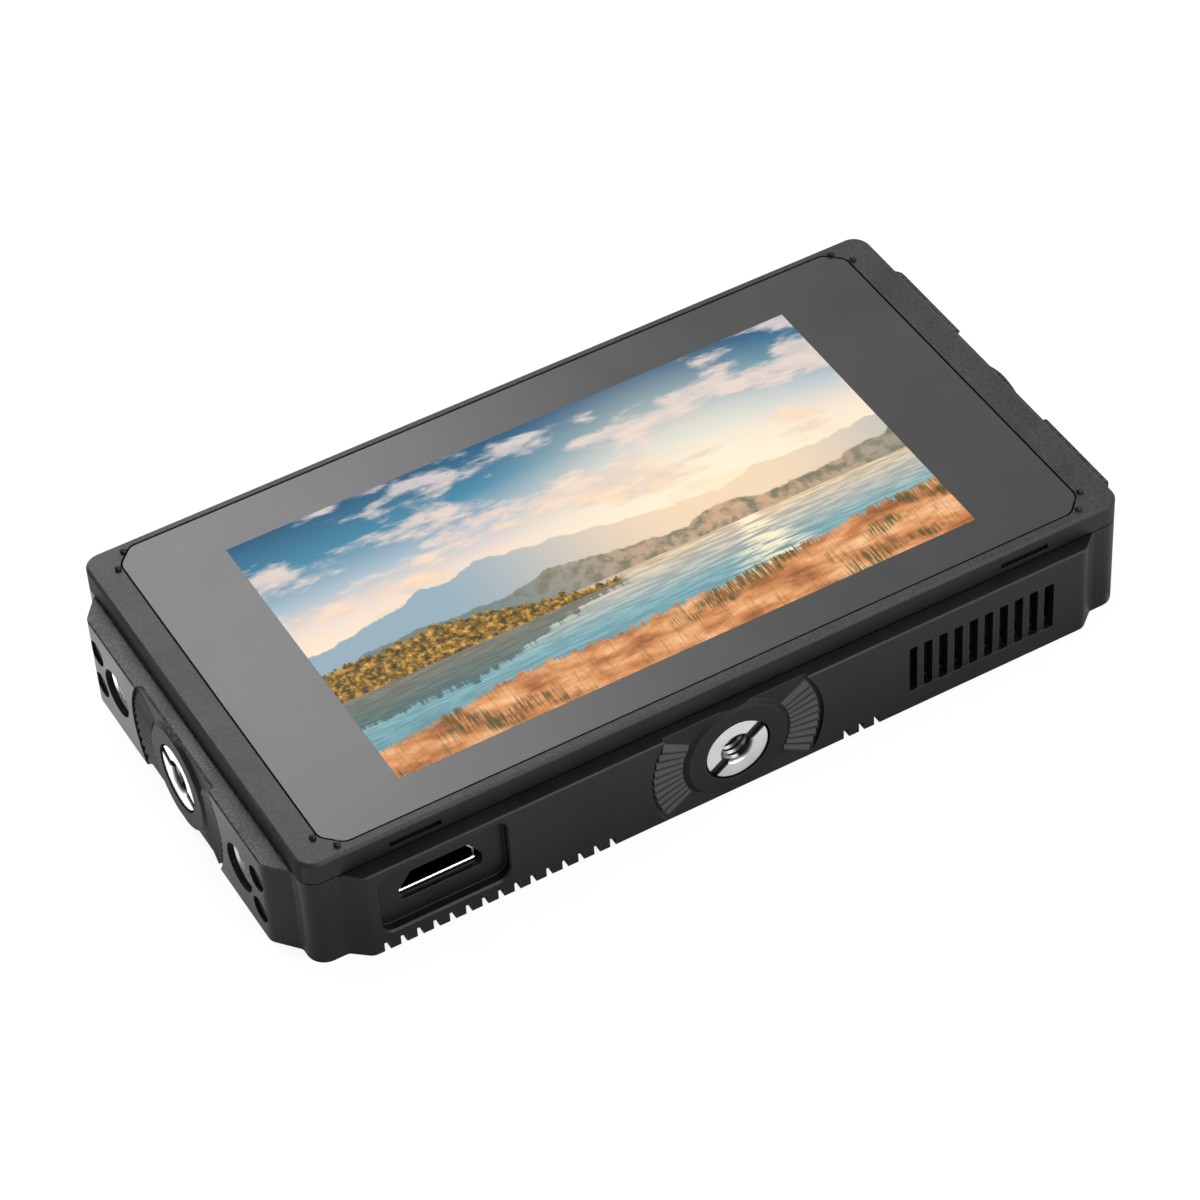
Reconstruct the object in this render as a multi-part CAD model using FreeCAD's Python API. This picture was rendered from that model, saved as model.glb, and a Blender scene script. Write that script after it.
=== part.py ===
import FreeCAD, Part
import math
import os

# A camera field monitor: a touch screen in a shallow case with a battery bay in its back.
# Lengths are millimetres. X runs along the long side, Y towards the top of the picture and
# Z out of the screen. The origin is the middle of the back face.

V = FreeCAD.Vector
ORIGIN = V(0, 0, 0)
X_AXIS = V(1, 0, 0)
Z_AXIS = V(0, 0, 1)
quarter_turn = 90
half_turn = 180

# Working values for cuts and fits
cut_overrun = 1.0
outline_tolerance = 0.000001
fit_gap = 0.03
shank_clearance = 0.2
head_clearance = 0.15
pilot_spare = 0.3

# Case outline
body_width = 179.0
body_depth = 96.9
body_height = 26.0
frame_height = 5.15
column_inset_x = 4.0
column_inset_y = 2.95
column_radius = 3.6
near_flare_foot = 2.9
near_flare_run = 3.5
side_flare_foot = 1.6
side_flare_run = 4.8
flare_radius = 2.4
flare_foot_radius = 1.2

# Rear shell
shell_wall = 2.2
back_wall = 4.2
shell_edge_chamfer = 0.25
shoulder_rise = 0.35
shoulder_fall = 0.42
root_gap = 0.3
rim_thickness = 1.0
side_mid_share = 0.491607

# Front frame
frame_chamfer = 0.55
frame_wall = 2.2
parting_gap = 0.35
parting_groove = 0.6
ledge_thickness = 1.75
hood_slot_share = 0.355866
hood_slot_length = 10.4
hood_slot_lift = 1.05
hood_slot_height = 1.3
hood_slot_depth = 1.1

# Screen stack
glass_margin_x = 10.4
glass_margin_y = 5.2
glass_thickness = 1.05
glass_drop = 0.05
glass_gap = 0.4
glass_shift_x = -0.25
glass_shift_y = 0.2
glass_corner_cut = 3.4
glass_corner_radius = 2.5
tape_thickness = 0.25
tape_margin = 0.5
lcd_margin_x = 15.6
lcd_margin_y = 6.25
window_margin = 2.0
window_radius = 1.0
lcd_thickness = 1.4
lcd_radius = 0.8
lcd_shift_x = -0.7
lcd_shift_y = -1.0
backlight_thickness = 2.4
midframe_margin_x = 4.6
midframe_margin_y = 1.75
midframe_thickness = 1.2
midframe_radius = 2.0
frame_boss_radius = 2.5
frame_boss_inset_x = 4.5
frame_boss_inset_y = 6.5
midframe_screw_bite = 2.4

# Rubber pips beside the glass corners
pip_radius = 0.65
pip_straight = 0.25
pip_stem_radius = 0.33
pip_stem_length = 1.0
pip_long_back = 1.7
pip_long_drop = 0.25
pip_short_out = 1.12
pip_short_drop = 3.95
pip_shift_y = -0.1

# Case screws in the corner columns
case_screw_inset = 6.0
case_post_radius = 4.0
case_head_radius = 2.4
case_head_height = 2.0
case_head_sink = 1.0
case_shank_radius = 1.25
case_socket_across = 2.0
case_socket_depth = 1.2
case_screw_bite = 3.0

# Toothed rosettes round the tripod threads
recess_share = 0.188854
recess_depth = 0.9
recess_lip = 0.3
recess_ramp = 2.7
ring_radius = 10.2
ring_bevel = 0.9
fan_inner_radius = 11.4
fan_outer_gap = 0.9
fan_half_angle = 32
tooth_count = 10
tooth_height = 0.85
tooth_valley = 0.05

# Tripod thread inserts
insert_flange_radius = 6.4
insert_flange_height = 1.6
insert_drop = 0.3
insert_ring_gap = 0.5
insert_barrel_radius = 5.0
insert_barrel_length = 8.6
insert_bore_radius = 2.95
insert_countersink = 0.6
insert_slot_width = 2.4
insert_slot_depth = 0.9
insert_boss_margin = 1.75
insert_boss_end = 1.4
insert_slot_angles = {"near": 36, "left": -24, "right": -24}

# Side thread blocks
side_hole_share = 0.261094
side_hole_radius = 4.875
side_hole_lip = 1.27
block_boss_radius = 5.6
block_bore_radius = 4.45
block_countersink = 0.5
block_thickness = 6.0
block_height = 11.8
block_gap = 0.1
block_margin_in = 6.0
block_margin_out = 2.9
block_screw_pitch = 7.4
block_screw_spread = 4.15
block_head_radius = 2.5
block_head_height = 0.8
block_head_sink = 0.7
block_shank_radius = 1.25
block_socket_across = 2.0
block_socket_depth = 0.55
block_screw_bite = 4.5

# Vent slots
vent_margin = 2.85
vent_count = 10
vent_pitch_share = 0.083
vent_width_share = 0.58735
vent_height_share = 0.541966
vent_radius = 0.2
vent_sink = 0.3

# Video port
port_share = -0.336313
port_pocket_width = 25.8
port_pocket_base = 4.45
port_pocket_top = 1.55
port_pocket_depth = 2.0
port_pocket_radius = 2.5
port_pocket_chamfer = 0.35
port_pad = 1.75
port_pad_margin = 1.5
port_hole_width = 16.85
port_hole_height = 6.5
port_hole_radius = 1.0
hdmi_width = 15.3
hdmi_height = 5.7
hdmi_length = 11.5
hdmi_sheet = 0.35
hdmi_radius = 0.6
hdmi_side_share = 0.42
hdmi_top_share = 0.68
hdmi_mouth_gap = 0.1
tongue_width = 11.2
tongue_thickness = 1.2
tongue_setback = 1.5
tongue_root = 3.0

# Back fins
groove_pitch_share = 0.01838
groove_width_share = 0.38
groove_depth = 2.3
left_groove_share = -0.406145
left_groove_count = 15
right_groove_share = 0.12905
right_groove_count = 3

# Main board and its cooling
board_post_length = 3.3
board_thickness = 1.6
board_margin_left = 11.5
board_margin_right = 5.8
board_margin_far = 12.45
board_front_gap = 0.3
board_notch_gap = 1.5
board_radius = 1.0
board_post_across = 4.4
board_post_inset_left = 3.0
board_post_inset_right = 4.0
board_post_inset_near = 16.4
board_post_inset_far = 8.0
small_head_radius = 1.9
small_head_height = 1.2
small_shank_radius = 1.0
small_socket_across = 1.5
small_socket_depth = 0.7
board_screw_bite = 2.0
chip_size = 23.0
chip_height = 1.6
chip_share = -0.268156
chip_y = 0.0
pad_height = 1.0
heat_block_share = 0.167598
heat_fin_count = 6
heat_fin_gap = 1.6
heat_fin_depth = 2.5
ribbon_share_x = -0.139665
ribbon_share_y = 0.206398
ribbon_width = 20.0
ribbon_thickness = 0.3
ribbon_run = 6.0
ribbon_slot_margin = 1.5
socket_width = 24.0
socket_depth = 4.0
socket_height = 1.6

# Blower
blower_share = 0.223464
blower_height = 10.0
blower_radius = 3.0
blower_floor = 1.0
blower_lid = 1.0
blower_cavity_share = 0.425
inlet_share = 0.275
shaft_radius = 0.75
shaft_gap = 0.03
shaft_lift = 0.2
bearing_radius = 1.7
bearing_length = 6.0
tower_radius = 2.6
coil_radius = 5.2
coil_height = 4.5
hub_radius = 7.0
hub_wall = 1.2
hub_top = 0.8
rotor_gap = 2.0
rotor_lift = 0.8
rotor_clearance = 0.6
blade_count = 13
blade_thickness = 0.8
blade_angle = 28
blade_root_share = 0.9
blower_screw_inset = 2.6
blower_screw_radius = 0.8
blower_screw_bite = 1.4

# Power button and status light
button_share = -0.290503
button_width = 8.0
button_height = 4.0
button_dish_margin = 2.0
button_dish_depth = 0.5
button_drop = 0.05
button_clearance = 0.3
button_flange_margin = 1.2
button_flange_thickness = 0.9
plunger_radius = 1.2
plunger_length = 1.8
plunger_clearance = 0.3
switch_gap = 1.0
switch_size = 6.0
switch_thickness = 3.4
switch_well = 1.5
button_board_half = 13.0
button_board_thickness = 1.2
button_board_drop = 4.65
board_rib_width = 3.0
board_rib_thickness = 2.0
board_rib_offset = 10.0
board_rib_drop = 3.0
lens_offset = 9.0
lens_radius = 1.2
lens_drop = 0.05
lens_collar_radius = 1.9
lens_collar_thickness = 0.8
led_width = 1.6
led_height = 0.8
led_thickness = 0.7
led_gap = 0.3

# Battery bay
bay_share = 0.225698
bay_margin_near = 14.45
bay_depth = 5.6
bay_floor = 2.0
bay_wall = 2.0
plate_thickness = 1.4
plate_gap = 0.15
plate_radius = 1.0
hook_length = 7.0
hook_reach = 1.8
hook_wall = 1.0
hook_lip = 1.0
hook_rise = 2.6
hook_spread_share = 0.28
contact_block_width = 20.0
contact_block_depth = 6.0
contact_block_rise = 2.8
blade_pitch = 6.0
contact_width = 0.8
contact_height = 1.2
contact_reach = 4.5
contact_tail = 1.0
plate_screw_inset = 5.2
plate_screw_inset_near = 26.0
plate_screw_inset_far = 14.25
plate_head_height = 0.8
plate_shank_radius = 0.9
plate_screw_bite = 1.6

# Battery latch
latch_inset = 8.0
latch_width = 10.0
latch_depth = 5.0
latch_rise = 2.0
latch_lead = 0.9
latch_clearance = 0.3
latch_flange_margin = 1.0
latch_flange_thickness = 1.5
latch_flange_gap = 0.1
well_wall = 1.6
well_gap = 0.4
spring_room = 5.0
spring_radius = 2.2
spring_wire_radius = 0.25
spring_turns = 6

# Levels that follow from the sizes above
parting_z = body_height - frame_height
side_mid_z = parting_z * side_mid_share
shoulder_z = parting_z + shoulder_rise
frame_foot_z = parting_z + parting_gap
rim_base = parting_z - rim_thickness
hood_slot_z = shoulder_z + hood_slot_lift
glass_top = body_height - glass_drop
glass_base = glass_top - glass_thickness
ledge_z = glass_base - tape_thickness
ledge_base = ledge_z - ledge_thickness
lcd_base = glass_base - lcd_thickness
midframe_top = lcd_base - backlight_thickness
midframe_base = midframe_top - midframe_thickness
board_top = midframe_base - board_post_length
board_base = board_top - board_thickness
chip_base = board_base - chip_height
heat_block_top = chip_base - pad_height
hdmi_mid_z = board_base - hdmi_height / 2
vent_height = parting_z * vent_height_share
port_pocket_height = parting_z - port_pocket_base - port_pocket_top
button_board_height = parting_z - back_wall - button_board_drop
board_rib_height = button_board_height - board_rib_drop
blower_floor_top = back_wall + blower_floor
blower_top = back_wall + blower_height
lid_base = blower_top - blower_lid
rotor_base = blower_floor_top + rotor_lift
rotor_top = lid_base - rotor_clearance
plate_base = bay_depth - plate_thickness
latch_flange_base = bay_depth + latch_flange_gap
spring_base = latch_flange_base + latch_flange_thickness
well_top = spring_base + spring_room

# Places and widths that follow along the long side
half_width = body_width / 2
column_x = half_width - column_inset_x
near_flare_gap = column_radius + near_flare_foot
hood_slot_x = body_width * hood_slot_share
glass_width = body_width - glass_margin_x * 2
lcd_width = glass_width - lcd_margin_x * 2
window_width = lcd_width + window_margin * 2
midframe_width = glass_width - midframe_margin_x * 2
frame_boss_x = midframe_width / 2 - frame_boss_inset_x
case_screw_x = column_x - case_screw_inset
blower_size = body_width * blower_share
blower_cavity_radius = blower_size * blower_cavity_share
inlet_radius = blower_size * inlet_share
rotor_radius = blower_cavity_radius - rotor_gap
vent_x = column_x - near_flare_gap - near_flare_run - blower_size / 2 - vent_margin
vent_pitch = blower_size * vent_pitch_share
vent_width = vent_pitch * vent_width_share
vent_field_width = vent_pitch * (vent_count - 1) + vent_width
port_x = body_width * port_share
groove_pitch = body_width * groove_pitch_share
groove_width = groove_pitch * groove_width_share
left_groove_x = body_width * left_groove_share
right_groove_x = body_width * right_groove_share
button_x = body_width * button_share
bay_width = body_width * bay_share
plate_screw_x = bay_width / 2 - plate_screw_inset
board_left_x = board_margin_left - column_x
board_right_x = bay_width / 2 + board_margin_right
board_post_left_x = board_left_x + board_post_inset_left
board_post_right_x = board_right_x - board_post_inset_right
chip_x = body_width * chip_share
heat_block_size = body_width * heat_block_share
ribbon_x = body_width * ribbon_share_x

# Places and depths that follow along the short side
half_depth = body_depth / 2
column_y = half_depth - column_inset_y
side_flare_gap = column_radius + side_flare_foot
glass_depth = body_depth - glass_margin_y * 2
lcd_depth = glass_depth - lcd_margin_y * 2
window_depth = lcd_depth + window_margin * 2
midframe_depth = glass_depth - midframe_margin_y * 2
frame_boss_y = midframe_depth / 2 - frame_boss_inset_y
case_screw_y = column_y - case_screw_inset
recess_radius = body_depth * recess_share
fan_outer_radius = recess_radius - fan_outer_gap
insert_depth = insert_drop + insert_flange_height + insert_barrel_length
insert_boss_radius = side_mid_z - insert_boss_margin
side_hole_offset = body_depth * side_hole_share
block_screw_offset = side_hole_offset + block_screw_pitch
port_inner = port_pocket_depth + port_pad
port_mouth = port_inner + hdmi_mouth_gap
blower_near_y = shell_wall - half_depth
blower_y = blower_near_y + blower_size / 2
bay_near_y = bay_margin_near - half_depth
bay_far_y = half_depth - shell_wall - bay_wall
bay_mid_y = (bay_near_y + bay_far_y) / 2
plate_screw_near_y = bay_near_y + plate_screw_inset_near
plate_screw_far_y = bay_far_y - plate_screw_inset_far
latch_y = bay_near_y + latch_inset
board_near_y = port_inner + board_front_gap - half_depth
board_far_y = half_depth - board_margin_far
board_post_near_y = board_near_y + board_post_inset_near
board_post_far_y = board_far_y - board_post_inset_far
ribbon_y = body_depth * ribbon_share_y

# The four sides: how far each is turned from the near side, its distance and its column inset
side_turns = {"near": 0, "right": quarter_turn, "far": half_turn, "left": -quarter_turn}
side_reach = {"near": half_depth, "far": half_depth, "left": half_width, "right": half_width}
side_inset = {
    "near": column_inset_y,
    "far": column_inset_y,
    "left": column_inset_x,
    "right": column_inset_x,
}
rosette_sides = ("near", "left", "right")
signs = (-1, 1)


# Helpers

def to_side(shape, side):
    """Place a shape drawn on a side: x along the side, y up the case, z out of the face."""
    moved = shape.copy()
    moved.rotate(ORIGIN, X_AXIS, quarter_turn)
    moved.translate(V(0, -side_reach[side], 0))
    moved.rotate(ORIGIN, Z_AXIS, side_turns[side])
    return moved


def box(low, high):
    size = high - low
    return Part.makeBox(size.x, size.y, size.z, low)


def cylinder(radius, low, high, x=0, y=0):
    return Part.makeCylinder(radius, high - low, V(x, y, low))


def rounded_outline(corners):
    """Closed wire through (x, y, radius) corners, each one rounded by its radius."""
    count = len(corners)
    turns = []
    for index, (x, y, radius) in enumerate(corners):
        here = V(x, y, 0)
        before = V(corners[index - 1][0], corners[index - 1][1], 0) - here
        after = V(corners[(index + 1) % count][0], corners[(index + 1) % count][1], 0) - here
        before.normalize()
        after.normalize()
        half_angle = before.getAngle(after) / 2
        reach = radius / math.tan(half_angle)
        middle = before + after
        middle.normalize()
        depth = radius / math.sin(half_angle) - radius
        turns.append((here + before * reach, here + middle * depth, here + after * reach))
    edges = []
    for index, (first, crown, last) in enumerate(turns):
        edges.append(Part.Arc(first, crown, last).toShape())
        following = turns[(index + 1) % count][0]
        if last.distanceToPoint(following) > outline_tolerance:
            edges.append(Part.LineSegment(last, following).toShape())
    return Part.Wire(edges)


def rounded_rectangle(width, depth, radius, x=0, y=0):
    right = x + width / 2
    far = y + depth / 2
    left = right - width
    near = far - depth
    points = [(left, near), (right, near), (right, far), (left, far)]
    return rounded_outline([(corner_x, corner_y, radius) for corner_x, corner_y in points])


def pill(width, height, x=0, y=0):
    return rounded_rectangle(width, height, height / 2, x, y)


def offset_outline(outline, distance):
    return Part.Face(outline).makeOffset2D(distance).Wires[0]


def slab(outline, low, high):
    face = Part.Face(outline)
    face.translate(V(0, 0, low))
    return face.extrude(V(0, 0, high - low))


def side_bar(corners, half_length):
    """A bar along a side, drawn as to_side takes it, from its (up, out) section."""
    points = [V(-half_length, up, out) for up, out in corners]
    face = Part.Face(Part.makePolygon(points + points[:1]))
    return face.extrude(V(half_length * 2, 0, 0))


def hexagon(across, x=0, y=0):
    radius = across / math.sqrt(3)
    points = []
    for index in range(7):
        angle = index * math.pi / 3
        points.append(V(x + radius * math.cos(angle), y + radius * math.sin(angle), 0))
    return Part.makePolygon(points)


def edges_at(shape, level):
    found = []
    for edge in shape.Edges:
        heights = [abs(point.Z - level) for point in edge.Vertexes]
        if max(heights) < outline_tolerance:
            found.append(edge)
    return found


def screw(head_size, shank_size, socket_size):
    """Socket screw pointing down, with the outer face of its head at zero."""
    head_radius, head_height = head_size
    shank_radius, shank_length = shank_size
    across, depth = socket_size
    head = cylinder(head_radius, -head_height, 0)
    shank = cylinder(shank_radius, -head_height - shank_length, -head_height)
    socket = slab(hexagon(across), -depth, cut_overrun)
    return head.fuse(shank).cut(socket).removeSplitter()


def countersink(radius, depth, mouth):
    return Part.makeCone(radius, radius + depth, depth, mouth - Z_AXIS * depth)


def upward(shape):
    turned = shape.copy()
    turned.rotate(ORIGIN, X_AXIS, half_turn)
    return turned


def placed(shape, x, y, z):
    moved = shape.copy()
    moved.translate(V(x, y, z))
    return moved


def four_corners(x, y):
    return [(sign_x * x, sign_y * y) for sign_x in signs for sign_y in signs]


# Outlines

def body_outline():
    quarter = [
        (column_x - near_flare_gap - near_flare_run, half_depth, flare_radius),
        (column_x - near_flare_gap, column_y, flare_foot_radius),
        (column_x, column_y, column_radius),
        (column_x, column_y - side_flare_gap, flare_foot_radius),
        (half_width, column_y - side_flare_gap - side_flare_run, flare_radius),
    ]
    corners = [(x, -y, radius) for x, y, radius in quarter]
    corners += [(x, y, radius) for x, y, radius in reversed(quarter)]
    corners += [(-x, y, radius) for x, y, radius in quarter]
    corners += [(-x, -y, radius) for x, y, radius in reversed(quarter)]
    return rounded_outline(corners)


def frame_outline():
    return rounded_rectangle(column_x * 2, column_y * 2, column_radius)


def glass_outline():
    right = glass_width / 2
    far = glass_depth / 2
    cut_x = right - glass_corner_cut
    cut_y = far - glass_corner_cut
    quarter = [(right, cut_y), (cut_x, far)]
    points = quarter + [(-x, y) for x, y in reversed(quarter)]
    points += [(-x, -y) for x, y in quarter]
    points += [(x, -y) for x, y in reversed(quarter)]
    moved = [(x + glass_shift_x, y + glass_shift_y) for x, y in points]
    return rounded_outline([(x, y, glass_corner_radius) for x, y in moved])


def lcd_outline():
    return rounded_rectangle(lcd_width, lcd_depth, lcd_radius, lcd_shift_x, lcd_shift_y)


def hdmi_outline(width, height, radius):
    """Socket outline round zero: full width low down, drawn in towards the top."""
    half = width / 2
    low = -height / 2
    top = half * hdmi_top_share
    bend = low + height * hdmi_side_share
    right = [(half, low), (half, bend), (top, -low)]
    points = right + [(-x, y) for x, y in reversed(right)]
    return rounded_outline([(x, y, radius) for x, y in points])


# Side features that are cut or added in more than one piece

def tooth(start, stop):
    sections = []
    for radius in (fan_inner_radius, fan_outer_radius):
        rise = radius / fan_outer_radius
        corners = [(start, -cut_overrun), (stop, -cut_overrun)]
        corners += [(stop, tooth_valley * rise), (start, tooth_height * rise)]
        points = [V(radius * math.cos(angle), radius * math.sin(angle), z) for angle, z in corners]
        sections.append(Part.makePolygon(points + points[:1]))
    return Part.makeLoft(sections, True, True)


def rosette_teeth():
    step = 2 * fan_half_angle / tooth_count
    teeth = []
    for index in range(tooth_count):
        start = math.radians(index * step - fan_half_angle)
        right = tooth(start, start + math.radians(step))
        teeth.append(right)
        teeth.append(right.mirror(ORIGIN, X_AXIS))
    return [placed(one, 0, side_mid_z, -recess_depth) for one in teeth]


def rosette_recess(side):
    """The sunk disc round a tripod thread, less its middle ring and its teeth.

    On the near side a ramp closes it above the back edge, and on the others it runs out there.
    """
    disc = cylinder(recess_radius, -recess_depth, cut_overrun, 0, side_mid_z)
    ring_base = ring_radius + ring_bevel
    ring = Part.makeCone(ring_base, ring_radius, recess_depth, V(0, side_mid_z, -recess_depth))
    kept = [ring] + rosette_teeth()
    if side == "near":
        corners = [(-recess_radius, -recess_depth), (recess_lip + recess_ramp, -recess_depth)]
        corners += [(recess_lip, 0), (recess_lip, cut_overrun), (-recess_radius, cut_overrun)]
        kept.append(side_bar(corners, recess_radius))
    return to_side(disc.cut(kept), side)


def vent_slots(side):
    slots = []
    for index in range(vent_count):
        x = vent_x + (index - (vent_count - 1) / 2) * vent_pitch
        outline = rounded_rectangle(vent_width, vent_height, vent_radius, x, side_mid_z)
        slots.append(to_side(slab(outline, -shell_wall - cut_overrun, cut_overrun), side))
    field = rounded_rectangle(vent_field_width, vent_height, vent_radius, vent_x, side_mid_z)
    slots.append(to_side(slab(field, -vent_sink, cut_overrun), side))
    return slots


# Front of the monitor

def hood_slots():
    slots = []
    for side in ("near", "far"):
        wall = -side_inset[side]
        for sign in signs:
            left = sign * hood_slot_x - hood_slot_length / 2
            low = V(left, hood_slot_z, wall - hood_slot_depth)
            high = V(left + hood_slot_length, hood_slot_z + hood_slot_height, wall + cut_overrun)
            slots.append(to_side(box(low, high), side))
    return slots


def pip_places():
    half_x = glass_width / 2
    half_y = glass_depth / 2
    places = four_corners(half_x - pip_long_back, half_y - pip_long_drop)
    places += four_corners(half_x + pip_short_out, half_y - pip_short_drop)
    return [(x + glass_shift_x, y + pip_shift_y) for x, y in places]


def case_screw_places():
    return four_corners(case_screw_x, case_screw_y)


def frame_boss_places():
    return [(sign * frame_boss_x, row * frame_boss_y) for sign in signs for row in (-1, 0, 1)]


def frame_cuts():
    cuts = hood_slots()
    pilot = small_shank_radius + fit_gap
    pilot_top = midframe_top + midframe_screw_bite + pilot_spare
    for x, y in frame_boss_places():
        cuts.append(cylinder(pilot, midframe_top - cut_overrun, pilot_top, x, y))
    case_pilot = case_shank_radius + fit_gap
    case_pilot_top = parting_z + case_screw_bite + pilot_spare
    for x, y in case_screw_places():
        cuts.append(cylinder(case_pilot, parting_z - cut_overrun, case_pilot_top, x, y))
    stem = pip_stem_radius + fit_gap
    for x, y in pip_places():
        cuts.append(cylinder(stem, body_height - pip_stem_length, body_height + cut_overrun, x, y))
    return cuts


def front_frame():
    wall = slab(frame_outline(), frame_foot_z, body_height)
    wall = wall.makeChamfer(frame_chamfer, edges_at(wall, body_height))
    neck = slab(offset_outline(frame_outline(), -parting_groove), parting_z, frame_foot_z)
    frame = wall.fuse(neck)
    inner = offset_outline(frame_outline(), -frame_wall)
    pocket = slab(offset_outline(glass_outline(), glass_gap), ledge_z, body_height + cut_overrun)
    window = slab(rounded_rectangle(window_width, window_depth, window_radius), parting_z, body_height)
    frame = frame.cut([slab(inner, parting_z - cut_overrun, ledge_base), pocket, window])
    bosses = [cylinder(frame_boss_radius, midframe_top, ledge_z, x, y) for x, y in frame_boss_places()]
    bosses += [cylinder(case_post_radius, parting_z, ledge_z, x, y) for x, y in case_screw_places()]
    return frame.fuse(bosses).cut(frame_cuts()).removeSplitter()


def cover_glass():
    return slab(glass_outline(), glass_base, glass_top)


def glass_tape():
    inner = rounded_rectangle(window_width, window_depth, window_radius)
    sheet = slab(offset_outline(glass_outline(), -tape_margin), ledge_z, glass_base)
    hole = slab(offset_outline(inner, tape_margin), ledge_z - cut_overrun, glass_base + cut_overrun)
    return sheet.cut(hole)


def lcd_panel():
    return slab(lcd_outline(), lcd_base, glass_base)


def backlight_unit():
    return slab(lcd_outline(), midframe_top, lcd_base)


def ribbon_slot():
    width = ribbon_width + ribbon_slot_margin * 2
    outline = rounded_rectangle(width, ribbon_slot_margin * 2, midframe_thickness, ribbon_x, ribbon_y)
    return slab(outline, midframe_base - cut_overrun, midframe_top + cut_overrun)


def midframe():
    outline = rounded_rectangle(midframe_width, midframe_depth, midframe_radius)
    plate = slab(outline, midframe_base, midframe_top)
    hole = small_shank_radius + shank_clearance
    low = midframe_base - cut_overrun
    high = midframe_top + cut_overrun
    holes = [cylinder(hole, low, high, x, y) for x, y in frame_boss_places()]
    return plate.cut(holes + [ribbon_slot()])


def small_screw(shank_radius, length):
    head = (small_head_radius, small_head_height)
    socket = (small_socket_across, small_socket_depth)
    return screw(head, (shank_radius, length), socket)


def midframe_screws():
    one = upward(small_screw(small_shank_radius, midframe_thickness + midframe_screw_bite))
    level = midframe_base - small_head_height
    return Part.makeCompound([placed(one, x, y, level) for x, y in frame_boss_places()])


def corner_pips():
    dome = Part.makeSphere(pip_radius, V(0, 0, pip_straight))
    below = cylinder(pip_radius * 2, -pip_radius, pip_straight)
    head = cylinder(pip_radius, 0, pip_straight).fuse(dome.cut(below))
    pip = head.fuse(cylinder(pip_stem_radius, -pip_stem_length, 0)).removeSplitter()
    return Part.makeCompound([placed(pip, x, y, body_height) for x, y in pip_places()])


# Rear shell

def shoulder_slope(side):
    """What lies above the sloped rim outside the frame, with the rim's outer edge broken."""
    inset = side_inset[side]
    edge = shell_edge_chamfer
    edge_z = shoulder_z - shoulder_fall * (inset - edge) / inset
    high = shoulder_z + cut_overrun
    outer = edge_z - edge - cut_overrun
    corners = [(shoulder_z, -inset), (edge_z, -edge), (outer, cut_overrun)]
    corners += [(high, cut_overrun), (high, -inset)]
    return to_side(side_bar(corners, half_width), side)


def shell_body():
    """The case without its inside: a sloped rim round the seat that the frame stands on."""
    body = slab(body_outline(), 0, shoulder_z)
    body = body.makeChamfer(shell_edge_chamfer, edges_at(body, 0))
    seat = slab(offset_outline(frame_outline(), root_gap), parting_z, shoulder_z + cut_overrun)
    return body.cut([shoulder_slope(side) for side in side_turns] + [seat])


def shell_hollow():
    room = slab(offset_outline(body_outline(), -shell_wall), back_wall, rim_base)
    mouth = slab(offset_outline(frame_outline(), -frame_wall), back_wall, parting_z + cut_overrun)
    return [room, mouth]


def bay_platform():
    side = bay_width / 2 + bay_wall
    return box(V(-side, bay_near_y - bay_wall, 0), V(side, half_depth - shell_wall, bay_depth + bay_floor))


def well_size(margin):
    width = latch_width + (latch_flange_margin + well_gap + margin) * 2
    depth = latch_depth + (latch_flange_margin + well_gap + margin) * 2
    return width, depth


def latch_well():
    width, depth = well_size(well_wall)
    low = V(-width / 2, latch_y - depth / 2, bay_depth)
    return box(low, V(width / 2, latch_y + depth / 2, well_top + well_wall))


def bay_cuts():
    low = V(-bay_width / 2, bay_near_y, -cut_overrun)
    bay = box(low, V(bay_width / 2, bay_far_y, bay_depth))
    width, depth = well_size(0)
    well = box(V(-width / 2, latch_y - depth / 2, 0), V(width / 2, latch_y + depth / 2, well_top))
    pilot = plate_shank_radius + fit_gap
    top = bay_depth + plate_screw_bite
    return [bay, well] + [cylinder(pilot, 0, top, x, y) for x, y in plate_screw_places()]


def insert_boss(side):
    end = -insert_depth - insert_boss_end
    return to_side(cylinder(insert_boss_radius, end, -shell_wall / 2, 0, side_mid_z), side)


def insert_seat(side):
    wide = insert_flange_radius + insert_ring_gap
    flange = cylinder(wide, -insert_drop - insert_flange_height, cut_overrun, 0, side_mid_z)
    barrel = cylinder(insert_barrel_radius + fit_gap, -insert_depth, cut_overrun, 0, side_mid_z)
    return to_side(flange.fuse(barrel), side)


def block_seat(sign):
    """Room for a thread block where the wall turns in towards the column."""
    near = side_hole_offset - block_margin_in - block_gap
    far = block_screw_offset + block_margin_out + block_gap
    half = block_height / 2 + block_gap
    back = -shell_wall - block_thickness - block_gap
    low = V(min(sign * near, sign * far), side_mid_z - half, back)
    return box(low, V(max(sign * near, sign * far), side_mid_z + half, -shell_wall))


def block_cuts(side):
    cuts = [block_seat(sign) for sign in signs]
    inside = -shell_wall - cut_overrun
    for sign in signs:
        x = sign * side_hole_offset
        cuts.append(cylinder(side_hole_radius, inside, cut_overrun, x, side_mid_z))
        cuts.append(cylinder(block_boss_radius + fit_gap, inside, -side_hole_lip, x, side_mid_z))
    floor = -block_head_sink - block_head_height
    for x, y in block_screw_places():
        cuts.append(cylinder(block_head_radius + head_clearance, floor, cut_overrun, x, y))
        cuts.append(cylinder(block_shank_radius + shank_clearance, inside, floor, x, y))
    return [to_side(cut, side) for cut in cuts]


def port_pad_block():
    half = port_pocket_width / 2 + port_pad_margin
    low = V(port_x - half, 0, -port_inner)
    return to_side(box(low, V(port_x + half, parting_z, -shell_wall / 2)), "near")


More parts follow.
